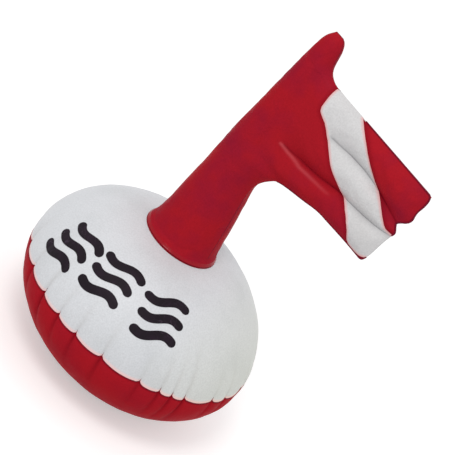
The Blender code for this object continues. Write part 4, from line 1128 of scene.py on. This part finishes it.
def nearest(point, line):
    """How far a point is from a line, and how far along the line its nearest place lies, from 0 to 1."""
    best, at = 1.0, 0.0
    for number, (start, end) in enumerate(zip(line, line[1:])):
        run = end - start
        part = min(1.0, max(0.0, (point - start).dot(run) / run.length_squared))
        off = (start + run * part - point).length
        if off < best:
            best, at = off, (number + part) / (len(line) - 1)
    return best, at


def flag_place(reach_share, height_share):
    return Vector((mast_axis.x + FLAG_REACH * reach_share, FLAG_BOTTOM + FLAG_HEIGHT * height_share))


def weld_line(table, start):
    shares = [start + (WELD_END - start) * step / 12.0 for step in range(13)]
    return [flag_place(share, read(table, share)) for share in shares]


weld_lines = [weld_line(table, start + WELD_INSET)
              for table, start in zip((LOWER_WELD, UPPER_WELD), WELD_STARTS)]
crest_line = [flag_place(*share) for share in CREST]
for sheet in sheets:
    with reshaping(sheet) as bm:
        weld, border_and_painted_highlight = bm.verts.layers.float.new("weld"), bm.verts.layers.float.new("border_and_painted_highlight")
        for vert in bm.verts:
            place = Vector((vert.co.x, vert.co.z))
            by_mast = place.x < mast_axis.x + CLEAR_OF_MAST
            if by_mast or not FLAG_BOTTOM < place.y < FLAG_BOTTOM + FLAG_HEIGHT:
                continue
            off = min(nearest(place, line)[0] for line in weld_lines)
            pressed = max(0.0, 1.0 - off / WELD_HALF_WIDTH) * WELD_PRESSED
            # A pressed weld line, plus painted shade across the valley beside it.
            vert[weld] = pressed + WELD_SHADE * max(0.0, 1.0 - off / WELD_SHADE_WIDTH) ** 2
            off, at = nearest(place, crest_line)
            crest = math.exp(-(off / CREST_HALF_WIDTH) ** 2) * (1.0 - at) ** CREST_FADE
            # Painted highlight: the crest of the lowest tube is made paler.
            vert[border_and_painted_highlight] = CREST_PAINTED_HIGHLIGHT * crest
            vert.co += vert.normal * CREST_HEIGHT * crest
print("marked", len(weld_lines), "welds on", len(sheets), "sheets")

# %% [markdown]
# ## White diagonal
# The diagonal on each side of the flag is a piece of white film that lies on the red one, tubes, welds and
# ripples included. A copy of the finished sheet is moved out by the film's thickness and trimmed to the
# diagonal's outline, so it follows the sheet exactly. The outline isn't quite straight, because the film was
# laid on before the air stretched it. Each stretch of it splits only the faces near it, which keeps the rest
# of the mesh clean. Red shows through a narrow border of the white film, so a second split is made inside
# its edge to carry the tint, and painted shade darkens the red film beside it.

# %% The diagonal's outline, as shares of the flag's reach and of its height
STRIPE_FILM = 0.0004
STRIPE_LEFT = (
    (0.189, 1.004), (0.205, 0.880), (0.216, 0.765), (0.252, 0.725), (0.294, 0.690), (0.352, 0.591),
    (0.422, 0.498), (0.477, 0.430), (0.526, 0.382), (0.569, 0.338), (0.630, 0.285), (0.686, 0.236),
    (0.740, 0.172), (0.779, 0.105), (0.800, 0.012), (0.850, 0.004), (0.895, 0.011), (0.922, 0.036),
    (0.950, 0.080),
)
STRIPE_RIGHT = (
    (0.408, 1.004), (0.468, 0.950), (0.549, 0.872), (0.598, 0.805), (0.642, 0.751), (0.679, 0.698),
    (0.716, 0.650), (0.762, 0.608), (0.805, 0.565), (0.859, 0.500), (0.902, 0.430), (0.931, 0.424),
    (0.985, 0.438),
)
STRIPE_CORNER = (1.0, 0.082)


def smoothed(points, rounds):
    """A line with its corners cut, once for each round."""
    for _ in range(rounds):
        line = [points[0]]
        for start, end in zip(points, points[1:]):
            line += [start.lerp(end, 0.25), start.lerp(end, 0.75)]
        points = line + [points[-1]]
    return points


left_line, right_line = (
    smoothed([flag_place(*share) for share in line], 1) for line in (STRIPE_LEFT, STRIPE_RIGHT))
stripe_outline = left_line + [flag_place(*STRIPE_CORNER)] + list(reversed(right_line))
print("diagonal outline:", len(stripe_outline), "points")


# %% Splitting faces along the outline
PAST_ENDS, FACE_REACH, SNAP = 0.0015, 0.002, 0.00002


def inside_outline(place, outline):
    """Whether a flat place lies inside a closed outline, by counting the edges to its right."""
    crossings = 0
    for start, end in zip(outline, outline[1:] + outline[:1]):
        if (start.y > place.y) != (end.y > place.y):
            crossings += place.x < start.x + (end.x - start.x) * (place.y - start.y) / (end.y - start.y)
    return crossings % 2 == 1


def flat_middle(face):
    return Vector(face.calc_center_median().xz)


def split_along(bm, line, inset):
    """Splits the faces under a line that is moved into the outline, one stretch at a time."""
    for start, end in zip(line, line[1:]):
        across = Vector((end.y - start.y, start.x - end.x)).normalized()
        if not inside_outline((start + end) / 2.0 + across * 0.001, stripe_outline):
            across = -across
        place = start + across * inset
        middle, reach = (start + end) / 2.0 + across * inset, (end - start).length / 2.0 + PAST_ENDS
        faces = [face for face in bm.faces if (flat_middle(face) - middle).length < reach + FACE_REACH]
        geometry = set(faces)
        for face in faces:
            geometry.update(face.edges)
            geometry.update(face.verts)
        bmesh.ops.bisect_plane(bm, geom=list(geometry), dist=SNAP, plane_co=(place.x, 0.0, place.y),
                               plane_no=(across.x, 0.0, across.y))


# %% Trimming a copy of the sheet
BORDER_WIDTH, BORDER_TINT = 0.0042, 0.95
EDGE_SHADE, EDGE_SHADE_WIDTH, SHADE_ASIDE, SHADE_BELOW = 0.55, 0.008, 0.02, 0.01
TRIM_ASIDE, TRIM_ABOVE = 0.01, 0.004


def beside_diagonal(place):
    """How far a place of the flag is from the diagonal's two long edges."""
    place = Vector((place.x, place.z))
    return min(nearest(place, left_line)[0], nearest(place, right_line)[0])


def diagonal(name, sheet):
    bm = bmesh.new()
    bm.from_mesh(sheet.data)
    bm.normal_update()
    moves = [vert.normal * (FILM + CLEARANCE) * vert.calc_shell_factor() for vert in bm.verts]
    for vert, move in zip(bm.verts, moves):
        vert.co += move
    low, high = FLAG_BOTTOM - TRIM_ABOVE, FLAG_BOTTOM + FLAG_HEIGHT + TRIM_ABOVE
    far = [face for face in bm.faces if flat_middle(face).x < left_line[0].x - TRIM_ASIDE
           or not low < flat_middle(face).y < high]
    bmesh.ops.delete(bm, geom=far, context="FACES")
    for line in (left_line, right_line):
        split_along(bm, line, 0.0)
    outer = [face for face in bm.faces if not inside_outline(flat_middle(face), stripe_outline)]
    bmesh.ops.delete(bm, geom=outer, context="FACES")
    for line in (left_line, right_line):
        split_along(bm, line, BORDER_WIDTH)
    border_and_painted_highlight = bm.verts.layers.float["border_and_painted_highlight"]
    for vert in bm.verts:
        vert[border_and_painted_highlight] = BORDER_TINT * max(0.0, 1.0 - beside_diagonal(vert.co) / BORDER_WIDTH)
    return walled(from_bmesh(name, bm), STRIPE_FILM, 1.0)


diagonals = [diagonal("diagonal_front", front_sheet), diagonal("diagonal_back", back_sheet)]
# Painted shade: the red film is darkened beside the diagonal's long edges.
for sheet in sheets:
    for vert, shade in zip(sheet.data.vertices, sheet.data.attributes["weld"].data):
        if vert.co.x > left_line[0].x - SHADE_ASIDE and vert.co.z > FLAG_BOTTOM - SHADE_BELOW:
            shade.value += EDGE_SHADE * max(0.0, 1.0 - beside_diagonal(vert.co) / EDGE_SHADE_WIDTH)
for made, side in zip(diagonals, ("front", "back")):
    dress(made, flag_white, "white_pvc", "float", "flag_stripe_" + side)


# %% Hole for the mast's valve, then the sheets' walls
# The mast is round under its valve and stays so, because the soft flange bends with it.
with reshaping(back_sheet) as bm:
    mast_skin = BVHTree.FromBMesh(bm)
    cut_hole(bm, mast_valve)
for sheet, side in zip(sheets, ("front", "back")):
    walled(sheet, FILM, 1.0)
    dress(sheet, red_film, "red_pvc", "float", f"mast_{side}_sheet")

# %% [markdown]
# ## Edge bead of mast and flag
# The outline weld shows as a thin darker bead round mast and flag. It follows the outline of the sheets, so
# its path is read from the cage's edge, and the sweep tree does the rest. Where the diagonal reaches the
# edge, the bead is white.

# %% The outline as a path
EDGE_BEADS = {"white": (0.0010, flag_white), "flag": (0.0016, weld_red), "mast": (0.0009, weld_red)}
NEAR_EDGE, FLAG_FROM = 0.9, 0.26
WHITE_ON_TOP, WHITE_ON_FLY = (0.185, 0.412), (0.06, 0.425)


def outline():
    """The outer edge of mast and flag: up from the left foot, round the fly, down to the right foot."""
    low, flag, high = mast_rows(LOWER_ROWS)[2:], flag_rows(), mast_rows(UPPER_ROWS)
    left = [row[0] for row in low + flag + high]
    down = [row[-1] for row in reversed(high)] + flag[-1][len(angles) - 1:]
    fly = [row[-1] for row in reversed(flag[:-1])]
    under = flag[0][-2:len(angles) - 2:-1] + [row[-1] for row in reversed(low)]
    return [Vector((place.x + mast_axis.x, mast_axis.y, place.z))
            for place in left + tip_row + down + fly + under]


def edge_kind(place):
    """Which film the outline shows at a place: the white diagonal's, the flag's or the mast's."""
    across, height = (place.x - mast_axis.x) / FLAG_REACH, (place.z - FLAG_BOTTOM) / FLAG_HEIGHT
    on_top = height > NEAR_EDGE and WHITE_ON_TOP[0] < across < WHITE_ON_TOP[1]
    on_fly = across > NEAR_EDGE and WHITE_ON_FLY[0] < height < WHITE_ON_FLY[1]
    if on_top or on_fly:
        return "white"
    return "flag" if across > FLAG_FROM else "mast"


runs = []
for place in smoothed(outline(), 2):
    kind = edge_kind(place)
    if not runs or runs[-1][0] != kind:
        if runs:
            runs[-1][1].append(place)
        runs.append((kind, []))
    runs[-1][1].append(place)
print("edge bead runs:", [kind for kind, run in runs])


# %% Beads along the runs
def together(name, *parts):
    """Several shells as one mesh."""
    bm = bmesh.new()
    for part in parts:
        bm.from_mesh(part.data)
        bpy.data.objects.remove(part)
    return from_bmesh(name, bm)


beads = {kind: [] for kind in EDGE_BEADS}
for number, (kind, run) in enumerate(runs):
    radius, finish = EDGE_BEADS[kind]
    beads[kind].append(grown(f"edge_run_{number}", path_mesh(f"edge_line_{number}", run, False), sweep,
                             Radius=radius, Sides=8, Unevenness=0.0003, Seed=2.0, Finish=finish))
for kind, parts in beads.items():
    slot = "white_pvc" if kind == "white" else "red_pvc"
    dress(together("edge_bead_" + kind, *parts), EDGE_BEADS[kind][1], slot, "float", crisp=80.0)

# %% [markdown]
# ## Turned pieces
# The collar, the mast's floor and all valve parts are turned, so one helper turns a closed profile round an
# axis. Points of the profile may follow the film instead of lying flat, which a valve's soft flange needs.

# %% Dropping a point on the film
def on_film(skin, place, way, lift):
    """The point of the film under a place, seen along a direction, lifted off the film."""
    hit, normal, _, _ = skin.ray_cast(place + way * 0.05, -way)
    if hit is None:
        hit, normal, _, _ = skin.find_nearest(place)
    return hit + way * lift


# %% Turning a profile round an axis
FOLLOWS = True


def turned(name, at, profile, steps=48, skin=None):
    """A closed ring-shaped solid from (radius, height) points. One marked FOLLOWS lies on the film."""
    bm = bmesh.new()
    rings = []
    for step in range(steps):
        angle = math.tau * step / steps
        ring = []
        for radius, height, *follows in profile:
            flat = Vector((radius * math.cos(angle), radius * math.sin(angle), 0.0 if follows else height))
            place = on_film(skin, at @ flat, at.col[2].xyz, height) if follows else at @ flat
            ring.append(bm.verts.new(place))
        rings.append(ring)
    quads(bm, rings + rings[:1], closed=True, flipped=True)
    bmesh.ops.remove_doubles(bm, verts=bm.verts, dist=0.000005)
    bmesh.ops.recalc_face_normals(bm, faces=bm.faces)
    return from_bmesh(name, bm)


def turned_cap(name, at, profile, steps=48):
    """A closed turned solid whose profile starts and ends on the axis."""
    piece = turned(name, at, profile, steps)
    with reshaping(piece) as bm:
        bmesh.ops.dissolve_degenerate(bm, edges=bm.edges, dist=0.000001)
        bmesh.ops.recalc_face_normals(bm, faces=bm.faces)
    return piece


# %% [markdown]
# ## Foot of the mast
# The mast's foot flares on to the hull, where a round sheet closes it. A collar of thicker film covers that
# weld: a thin skirt that hugs the foot and ends in a round lip on the hull. Its section is a closed line of
# points, turned round the mast and set on the crown, whose slope it follows.

# %% Floor of the mast
FLOOR_RADII = (0.0651, 0.060, 0.050, 0.040, 0.030)


def crown_height(radius):
    seat = ((SEAT_CORE, SEAT_RISE + SEAT_CROWN), (SEAT_RADIUS, SEAT_RISE))
    return SEAM_HEIGHT + read((*seat, tuple(dome(FACET_START, UPPER_RISE))), radius)


collar_centre = hull_centre + lean_way * HULL_LEAN * SEAT_RISE
floor_at = Matrix.Translation(Vector((collar_centre.x, collar_centre.y, 0.0)))
floor_rows = [(radius, crown_height(radius) + CLEARANCE) for radius in FLOOR_RADII]
floor_line = [(0.0, floor_rows[-1][1])] + list(reversed(floor_rows))
floor_line += [(radius, height + FILM) for radius, height in floor_rows] + [(0.0, floor_rows[-1][1] + FILM)]
mast_floor = turned_cap("mast_floor", floor_at, floor_line, 64)
dress(mast_floor, red_film, "red_pvc", "float", "mast_floor_disc")

# %% Collar
LIP_RADIUS, SKIRT_HEIGHT, SKIRT_LOW, SKIRT_FILM, SKIRT_GAP = 0.0015, 0.0062, 0.0052, 0.0004, 0.00015
LIP_LEVEL, LIP_OVERHANG, CROWN_SLOPE, LIP_SHADE, LIP_SHADE_RISE = 0.0048, 0.55, 0.17, 0.9, 1.4


def foot_radius(rise):
    """Outside of the mast's foot at a rise above the floor sheet."""
    return mast_radius(mast_foot + rise) + FILM


lip_centre = foot_radius(LIP_LEVEL) + SKIRT_GAP + LIP_RADIUS * LIP_OVERHANG
rises = [SKIRT_HEIGHT + (SKIRT_LOW - SKIRT_HEIGHT) * step / 5.0 for step in range(6)]
section = [(foot_radius(rise) + SKIRT_GAP, rise) for rise in reversed(rises)]
section += [(foot_radius(rise) + SKIRT_GAP + SKIRT_FILM * (0.4 + 0.6 * step / 5.0), rise)
            for step, rise in enumerate(rises)]
section += [(lip_centre + LIP_RADIUS * math.cos(angle), LIP_RADIUS + LIP_RADIUS * math.sin(angle))
            for angle in (math.radians(degrees) for degrees in range(70, -190, -20))]
collar_base = crown_height(lip_centre) + 2.0 * CLEARANCE + FILM
collar_line = [(radius, collar_base + height - (radius - lip_centre) * CROWN_SLOPE)
               for radius, height in section]
collar = turned("mast_collar", floor_at, collar_line, 128)
# Painted shade: the lip darkens towards its foot, where it meets the hull.
shade = collar.data.attributes.new("weld", "FLOAT", "POINT")
lip_low = min(vert.co.z for vert in collar.data.vertices)
for vert, item in zip(collar.data.vertices, shade.data):
    item.value = LIP_SHADE * max(0.0, 1.0 - (vert.co.z - lip_low) / (LIP_SHADE_RISE * LIP_RADIUS))
dress(collar, bead_red, "red_pvc", "float", "mast_base_collar", crisp=80.0)

# %% [markdown]
# ## Printed marks
# The hull carries large dark marks: plain water signs, three wavy strokes one above the other. Screen
# printing lays a thin, dull skin of ink. Each stroke is a strip of points dropped on the film along its
# normal, so that it follows the hull's curve, then given the ink's thickness.

# %% Three wavy strokes
STROKE_HALF, STROKE_PITCH, STROKE_LENGTH = 0.0070, 0.0275, 0.074
WAVE_HEIGHT = 0.0064
STROKE_STEPS, STROKE_CUTS = 96, 10
INK_LIFT, INK_FILM = 0.00022, 0.00015
MARK_TURN = -63.0
MARK_PLACES = ((-43.5, 0.1806, 0.0752), (-15.3, 0.166, 0.0895), (17.4, 0.166, 0.0893))


def wavy_stroke(at, along, across, normal, offset):
    """One stroke of even width with round ends: a strip of rows across a wave line."""
    bm = bmesh.new()
    rows = []
    for step in range(STROKE_STEPS + 1):
        reach = STROKE_LENGTH * (step / STROKE_STEPS - 0.5)
        phase = math.tau * (step / STROKE_STEPS - 0.5)
        side = Vector((-WAVE_HEIGHT * math.cos(phase) * math.tau / STROKE_LENGTH, 1.0)).normalized()
        to_end = STROKE_LENGTH / 2.0 - abs(reach)
        half = STROKE_HALF * math.sqrt(max(0.01, 1.0 - max(0.0, 1.0 - to_end / STROKE_HALF) ** 2))
        row = []
        for cut in range(STROKE_CUTS + 1):
            out = half * (2.0 * cut / STROKE_CUTS - 1.0)
            flat = Vector((reach, WAVE_HEIGHT * math.sin(phase) + offset)) + side * out
            place = at + along * flat.x + across * flat.y
            row.append(bm.verts.new(on_film(upper_skin, place, normal, INK_LIFT)))
        rows.append(row)
    quads(bm, rows, flipped=True)
    bm.normal_update()
    return walled(from_bmesh("stroke", bm), INK_FILM, 1.0)


for number, (degrees, radius, rise) in enumerate(MARK_PLACES, 1):
    azimuth = math.radians(degrees + MARK_TURN)
    guess = hull_centre + lean_way * HULL_LEAN * rise
    guess += Vector((math.cos(azimuth) * radius, math.sin(azimuth) * radius, 0.0))
    guess.z = SEAM_HEIGHT + rise
    at, normal, _, _ = upper_skin.find_nearest(guess)
    across = (Vector((0.0, 0.0, 1.0)) - normal * normal.z).normalized()
    along = across.cross(normal)
    strokes = [wavy_stroke(at, along, across, normal, STROKE_PITCH * step) for step in (-1, 0, 1)]
    dress(together(f"printed_mark_{number}", *strokes), ink, "white_pvc", "float")

# %% [markdown]
# ## Valves
# A push-in valve is a soft flange welded on the film, a sleeve, a stem that slides in it, a plug on a strap,
# and a flap that stops the air inside. Apart from the strap and the lugs all are turned parts. Moulded ridges
# on the flange help the fingers to hold it.

# %% A moulded block
def block(name, at, low, high, bevel, corner):
    """A small moulded block between two corners of a frame, round in plan and with soft edges."""
    bm = bmesh.new()
    bmesh.ops.create_cube(bm, size=1.0)
    low, high = Vector(low), Vector(high)
    bm.transform(Matrix.Translation((low + high) / 2.0) @ Matrix.Diagonal((*(high - low), 1.0)))
    tall = 0.9 * (high.z - low.z)
    upright = [edge for edge in bm.edges if abs(edge.verts[0].co.z - edge.verts[1].co.z) > tall]
    bmesh.ops.bevel(bm, geom=upright, offset=corner, segments=6, affect="EDGES", profile=0.5)
    sharp = [edge for edge in bm.edges if edge.calc_face_angle(0.0) > 1.0]
    bmesh.ops.bevel(bm, geom=sharp, offset=bevel, segments=2, affect="EDGES", profile=0.5)
    bm.transform(at)
    bmesh.ops.recalc_face_normals(bm, faces=bm.faces)
    return from_bmesh(name, bm)


# %% Flange and sleeve
BORE, SLEEVE_WALL, SLEEVE_DEPTH = 0.0108, 0.0008, 0.0125
RIDGES, RIDGE_START, RIDGE_PITCH, RIDGE_WIDTH, RIDGE_HEIGHT = 4, 0.0024, 0.0013, 0.0007, 0.00028


def valve_body(prefix, at, skin, film_lift):
    """The soft flange, which follows the film, and the sleeve that the stem slides in."""
    under = film_lift + CLEARANCE
    top, outside = under + FLANGE_FILM, BORE + SLEEVE_WALL
    soft = [(BORE + 0.0016, top)]
    for ridge in range(RIDGES):
        start = BORE + RIDGE_START + RIDGE_PITCH * ridge
        soft += [(start, top), (start + RIDGE_WIDTH / 2.0, top + RIDGE_HEIGHT), (start + RIDGE_WIDTH, top)]
    soft += [(VALVE_FLANGE - 0.0006, top), (VALVE_FLANGE - 0.0001, top - 0.0003),
             (VALVE_FLANGE, under + 0.0002), (VALVE_FLANGE - 0.0003, under),
             (BORE + 0.0030, under), (outside, under - 0.0012)]
    line = [(BORE, 0.0), (BORE + 0.0004, 0.0004), (BORE + 0.0011, 0.0004)]
    line += [(*point, FOLLOWS) for point in soft] + [(outside, -SLEEVE_DEPTH), (BORE, -SLEEVE_DEPTH)]
    body = turned(prefix + "_flange", at, line, 64, skin)
    dress(body, valve_clear, "clear_pvc", "float", prefix + "_body", crisp=60.0)


# %% Stem, plug and flap
STEM_RADIUS, STEM_BORE, STEM_RISE, STEM_LIP = 0.0065, 0.0042, 0.0012, 0.0075
STEM_LENGTH, STEM_FOOT = 0.012, 0.0104


def moving_part(prefix, part, *shapes):
    """The shapes of one moving part as one piece, tied to the body of the same name."""
    made = together(f"{prefix}_{part}_part", *shapes)
    dress(made, valve_clear, "clear_pvc", f"{prefix}_{part}", f"{prefix}_{part}")


def valve_stem(prefix, at):
    foot = 0.001 - STEM_LENGTH
    line = [
        (STEM_BORE, STEM_RISE - 0.0002), (STEM_BORE + 0.0003, STEM_RISE), (STEM_LIP - 0.0003, STEM_RISE),
        (STEM_LIP, STEM_RISE - 0.0003), (STEM_LIP, STEM_RISE - 0.0009), (STEM_RADIUS, STEM_RISE - 0.001),
        (STEM_RADIUS, -0.0030), (STEM_RADIUS + 0.0003, -0.0034), (STEM_RADIUS, -0.0038),
        (STEM_RADIUS, foot), (STEM_FOOT - 0.0002, foot), (STEM_FOOT, 0.0008 - STEM_LENGTH),
        (STEM_FOOT, -STEM_LENGTH), (STEM_BORE, -STEM_LENGTH)]
    ear = block(prefix + "_ear", at, (STEM_RADIUS - 0.001, -0.0025, 0.0002), (0.0098, 0.0025, STEM_RISE),
                0.0002, 0.0012)
    moving_part(prefix, "stem", turned(prefix + "_tube", at, line), ear)


def valve_plug(prefix, at):
    seat = STEM_RISE + CLEARANCE
    hinge = seat + 0.0006
    line = [
        (0.0, seat + 0.0014), (0.0030, seat + 0.0014), (0.0036, seat + 0.0018),
        (STEM_LIP - 0.0006, seat + 0.0018), (STEM_LIP, seat + 0.0012), (STEM_LIP, seat), (0.0036, seat),
        (0.0034, seat - 0.0020), (0.0030, seat - 0.0024), (0.0030, seat - 0.0040),
        (0.0024, seat - 0.0050), (0.0, seat - 0.0050)]
    strap = block(prefix + "_strap", at, (STEM_RADIUS, -0.0020, hinge - 0.0005),
                  (PLUG_HINGE_OFFSET + 0.0005, 0.0020, hinge + 0.0005), 0.0003, 0.0009)
    tab = block(prefix + "_tab", at, (-STEM_LIP - 0.0022, -0.0022, seat + 0.0004),
                (-STEM_LIP + 0.0008, 0.0022, seat + 0.0014), 0.0003, 0.0012)
    moving_part(prefix, "plug", turned_cap(prefix + "_cap", at, line), strap, tab)


def valve_flap(prefix, at):
    top = -STEM_LENGTH - CLEARANCE
    line = [(0.0, top), (0.0052, top), (0.0054, top - 0.0002), (0.0054, top - 0.0005),
            (0.0052, top - 0.0007), (0.0, top - 0.0007)]
    lug = block(prefix + "_lug", at, (0.0044, -0.0020, top - 0.0007), (0.0058, 0.0020, top), 0.00015, 0.0004)
    moving_part(prefix, "flap", turned_cap(prefix + "_disc", at, line), lug)


for prefix, at, skin, film_lift in (("hull_valve", hull_valve, upper_skin, 0.0),
                                    ("mast_valve", mast_valve, mast_skin, FILM)):
    valve_body(prefix, at, skin, film_lift)
    valve_stem(prefix, at)
    valve_plug(prefix, at)
    valve_flap(prefix, at)

# %% [markdown]
# ## Tow ring, keeper and patch
# The towing line is tied to a D-shaped wire ring under the hull. A strip of film holds the ring's bar in a
# tunnel, and both are welded on a round patch. The ring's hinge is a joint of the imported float, so the ring
# is built about that point and laid back so that it clears the ground.

# %% The ring
RING_WIRE, RING_HALF, RING_REACH, RING_SIDE = 0.002, 0.017, 0.028, 0.011
RING_CORNER, RING_STEPS, GROUND_GAP = 0.003, 24, 0.0004
ring_hinge = Vector(joints["tow_ring_hinge"]["pos_m"])
tilt = math.asin((ring_hinge.z - RING_WIRE - GROUND_GAP) / RING_REACH)
bow = [Vector((RING_SIDE + (RING_REACH - RING_SIDE) * math.sin(math.pi * step / RING_STEPS),
               -RING_HALF * math.cos(math.pi * step / RING_STEPS), 0.0)) for step in range(RING_STEPS + 1)]
start, low_corner, high_corner = (Vector((0.0, side, 0.0)) for side in (0.0, -RING_HALF, RING_HALF))
ring_line = rounded([start, low_corner] + bow + [high_corner, start],
                    [RING_CORNER] + [0.0] * len(bow) + [RING_CORNER])[:-1]
tilted = Matrix.Translation(ring_hinge) @ Matrix.Rotation(tilt, 4, "Y")
ring = grown("tow_ring_wire", path_mesh("ring_line", [tilted @ place for place in ring_line], True), sweep,
             Radius=RING_WIRE, Sides=16, Unevenness=0.0, Finish=wire)
dress(ring, wire, "ring_steel", "tow_ring", "tow_ring", crisp=80.0)

# %% The keeper strip
KEEPER_FILM, KEEPER_WIDTH, KEEPER_WING, KEEPER_CUTS = 0.0012, 0.020, 0.014, 8
TUNNEL_ROOM, TUNNEL_STEPS = 0.0006, 16
tunnel = RING_WIRE + TUNNEL_ROOM
keeper_top = ring_hinge.z + tunnel
line = [(-KEEPER_WING, keeper_top), (-tunnel - TUNNEL_ROOM, keeper_top)]
line += [(-tunnel * math.cos(angle), ring_hinge.z - tunnel * math.sin(angle))
         for angle in (math.pi * step / TUNNEL_STEPS for step in range(TUNNEL_STEPS + 1))]
line += [(tunnel + TUNNEL_ROOM, keeper_top), (KEEPER_WING, keeper_top)]
bm = bmesh.new()
cuts = [ring_hinge.y + KEEPER_WIDTH * (cut / KEEPER_CUTS - 0.5) for cut in range(KEEPER_CUTS + 1)]
quads(bm, [[bm.verts.new((ring_hinge.x + across, cut, height)) for across, height in line] for cut in cuts],
      flipped=True)
bm.normal_update()
if sum(face.normal.z * face.calc_area() for face in bm.faces) > 0.0:
    bmesh.ops.reverse_faces(bm, faces=bm.faces)
keeper = walled(from_bmesh("keeper_strip", bm), KEEPER_FILM, 1.0)
dress(keeper, hull_red, "red_pvc", "float", "ring_keeper", crisp=35.0)

# %% The patch
PATCH_RADIUS, PATCH_FILM = 0.036, 0.001
patch_top = keeper_top + CLEARANCE + PATCH_FILM
low = patch_top - PATCH_FILM
patch_at = Matrix.Translation(Vector((foot_centre.x, foot_centre.y, 0.0)))
patch_line = [
    (0.0, patch_top), (PATCH_RADIUS, patch_top), (PATCH_RADIUS, low + 0.0004), (PATCH_RADIUS - 0.0004, low),
    (PATCH_RADIUS - 0.0030, low), (PATCH_RADIUS - 0.0034, low + 0.0003),
    (PATCH_RADIUS - 0.0060, low + 0.0003), (PATCH_RADIUS - 0.0064, low), (0.0, low)]
ring_patch = turned_cap("ring_patch_disc", patch_at, patch_line, 72)
dress(ring_patch, hull_red, "red_pvc", "float", "ring_patch", crisp=40.0)

# %% [markdown]
# ## Floor and light
# The float stands before pure white. A white floor lit at a plain level comes out light grey, so its
# material adds a little light of its own for rays from the camera only, which lifts it to white and keeps the
# shadow. Glossy and transmitted rays see the same. One large soft lamp stands above the camera, and the world
# gives even light from everywhere.

# %% A white floor that keeps the shadow
FLOOR_GLOW = 0.42


def backdrop_rays(tree):
    """A mask that is 1 for camera, glossy and transmission rays."""
    rays = joined(tree, "ShaderNodeLightPath", {}).outputs
    either = maths(tree, "MAXIMUM", rays["Is Camera Ray"], rays["Is Glossy Ray"])
    return maths(tree, "MAXIMUM", either, rays["Is Transmission Ray"])


bm = bmesh.new()
bmesh.ops.create_grid(bm, x_segments=8, y_segments=8, size=14.0)
ground = from_bmesh("floor", bm)
finish, tree, shader = new_finish("floor_white", Base_Color=(0.8, 0.8, 0.8, 1.0), Roughness=0.9,
                                  Specular_IOR_Level=0.0, Emission_Color=(1.0, 1.0, 1.0, 1.0))
tree.links.new(maths(tree, "MULTIPLY", backdrop_rays(tree), FLOOR_GLOW), shader["Emission Strength"])
ground.data.materials.append(finish)

# %% World and lamp
WORLD_LIGHT = 0.74
LAMP_SIZE, LAMP_POWER, LAMP_COLOUR = 0.9, 19.0, (1.0, 0.99, 0.97)
LAMP_TARGET, LAMP_ASIDE, LAMP_ABOVE, LAMP_BEHIND, LAMP_RAISED = (0.05, 0.0, 0.3), 0.15, 1.0, 2.0, 0.5
world = bpy.data.worlds.new("studio")
scene.world = world
world.use_nodes = True
tree = world.node_tree
background = tree.nodes["Background"].inputs
background["Color"].default_value = (1.0, 1.0, 1.0, 1.0)
tree.links.new(ranged(tree, backdrop_rays(tree), to_low=WORLD_LIGHT), background["Strength"])

target = hull_centre + Vector(LAMP_TARGET)
light = bpy.data.lights.new("key_light", "AREA")
light.shape, light.size, light.energy, light.color = "DISK", LAMP_SIZE, LAMP_POWER, LAMP_COLOUR
lamp = linked("key_light", light)
lamp.location = target + right * LAMP_ASIDE + up * LAMP_ABOVE - forward * LAMP_BEHIND
lamp.location += Vector((0.0, 0.0, LAMP_RAISED))
lamp.rotation_euler = (target - lamp.location).to_track_quat("-Z", "Y").to_euler()
scene.view_settings.view_transform = "Standard"
print("key light at", lamp.location)
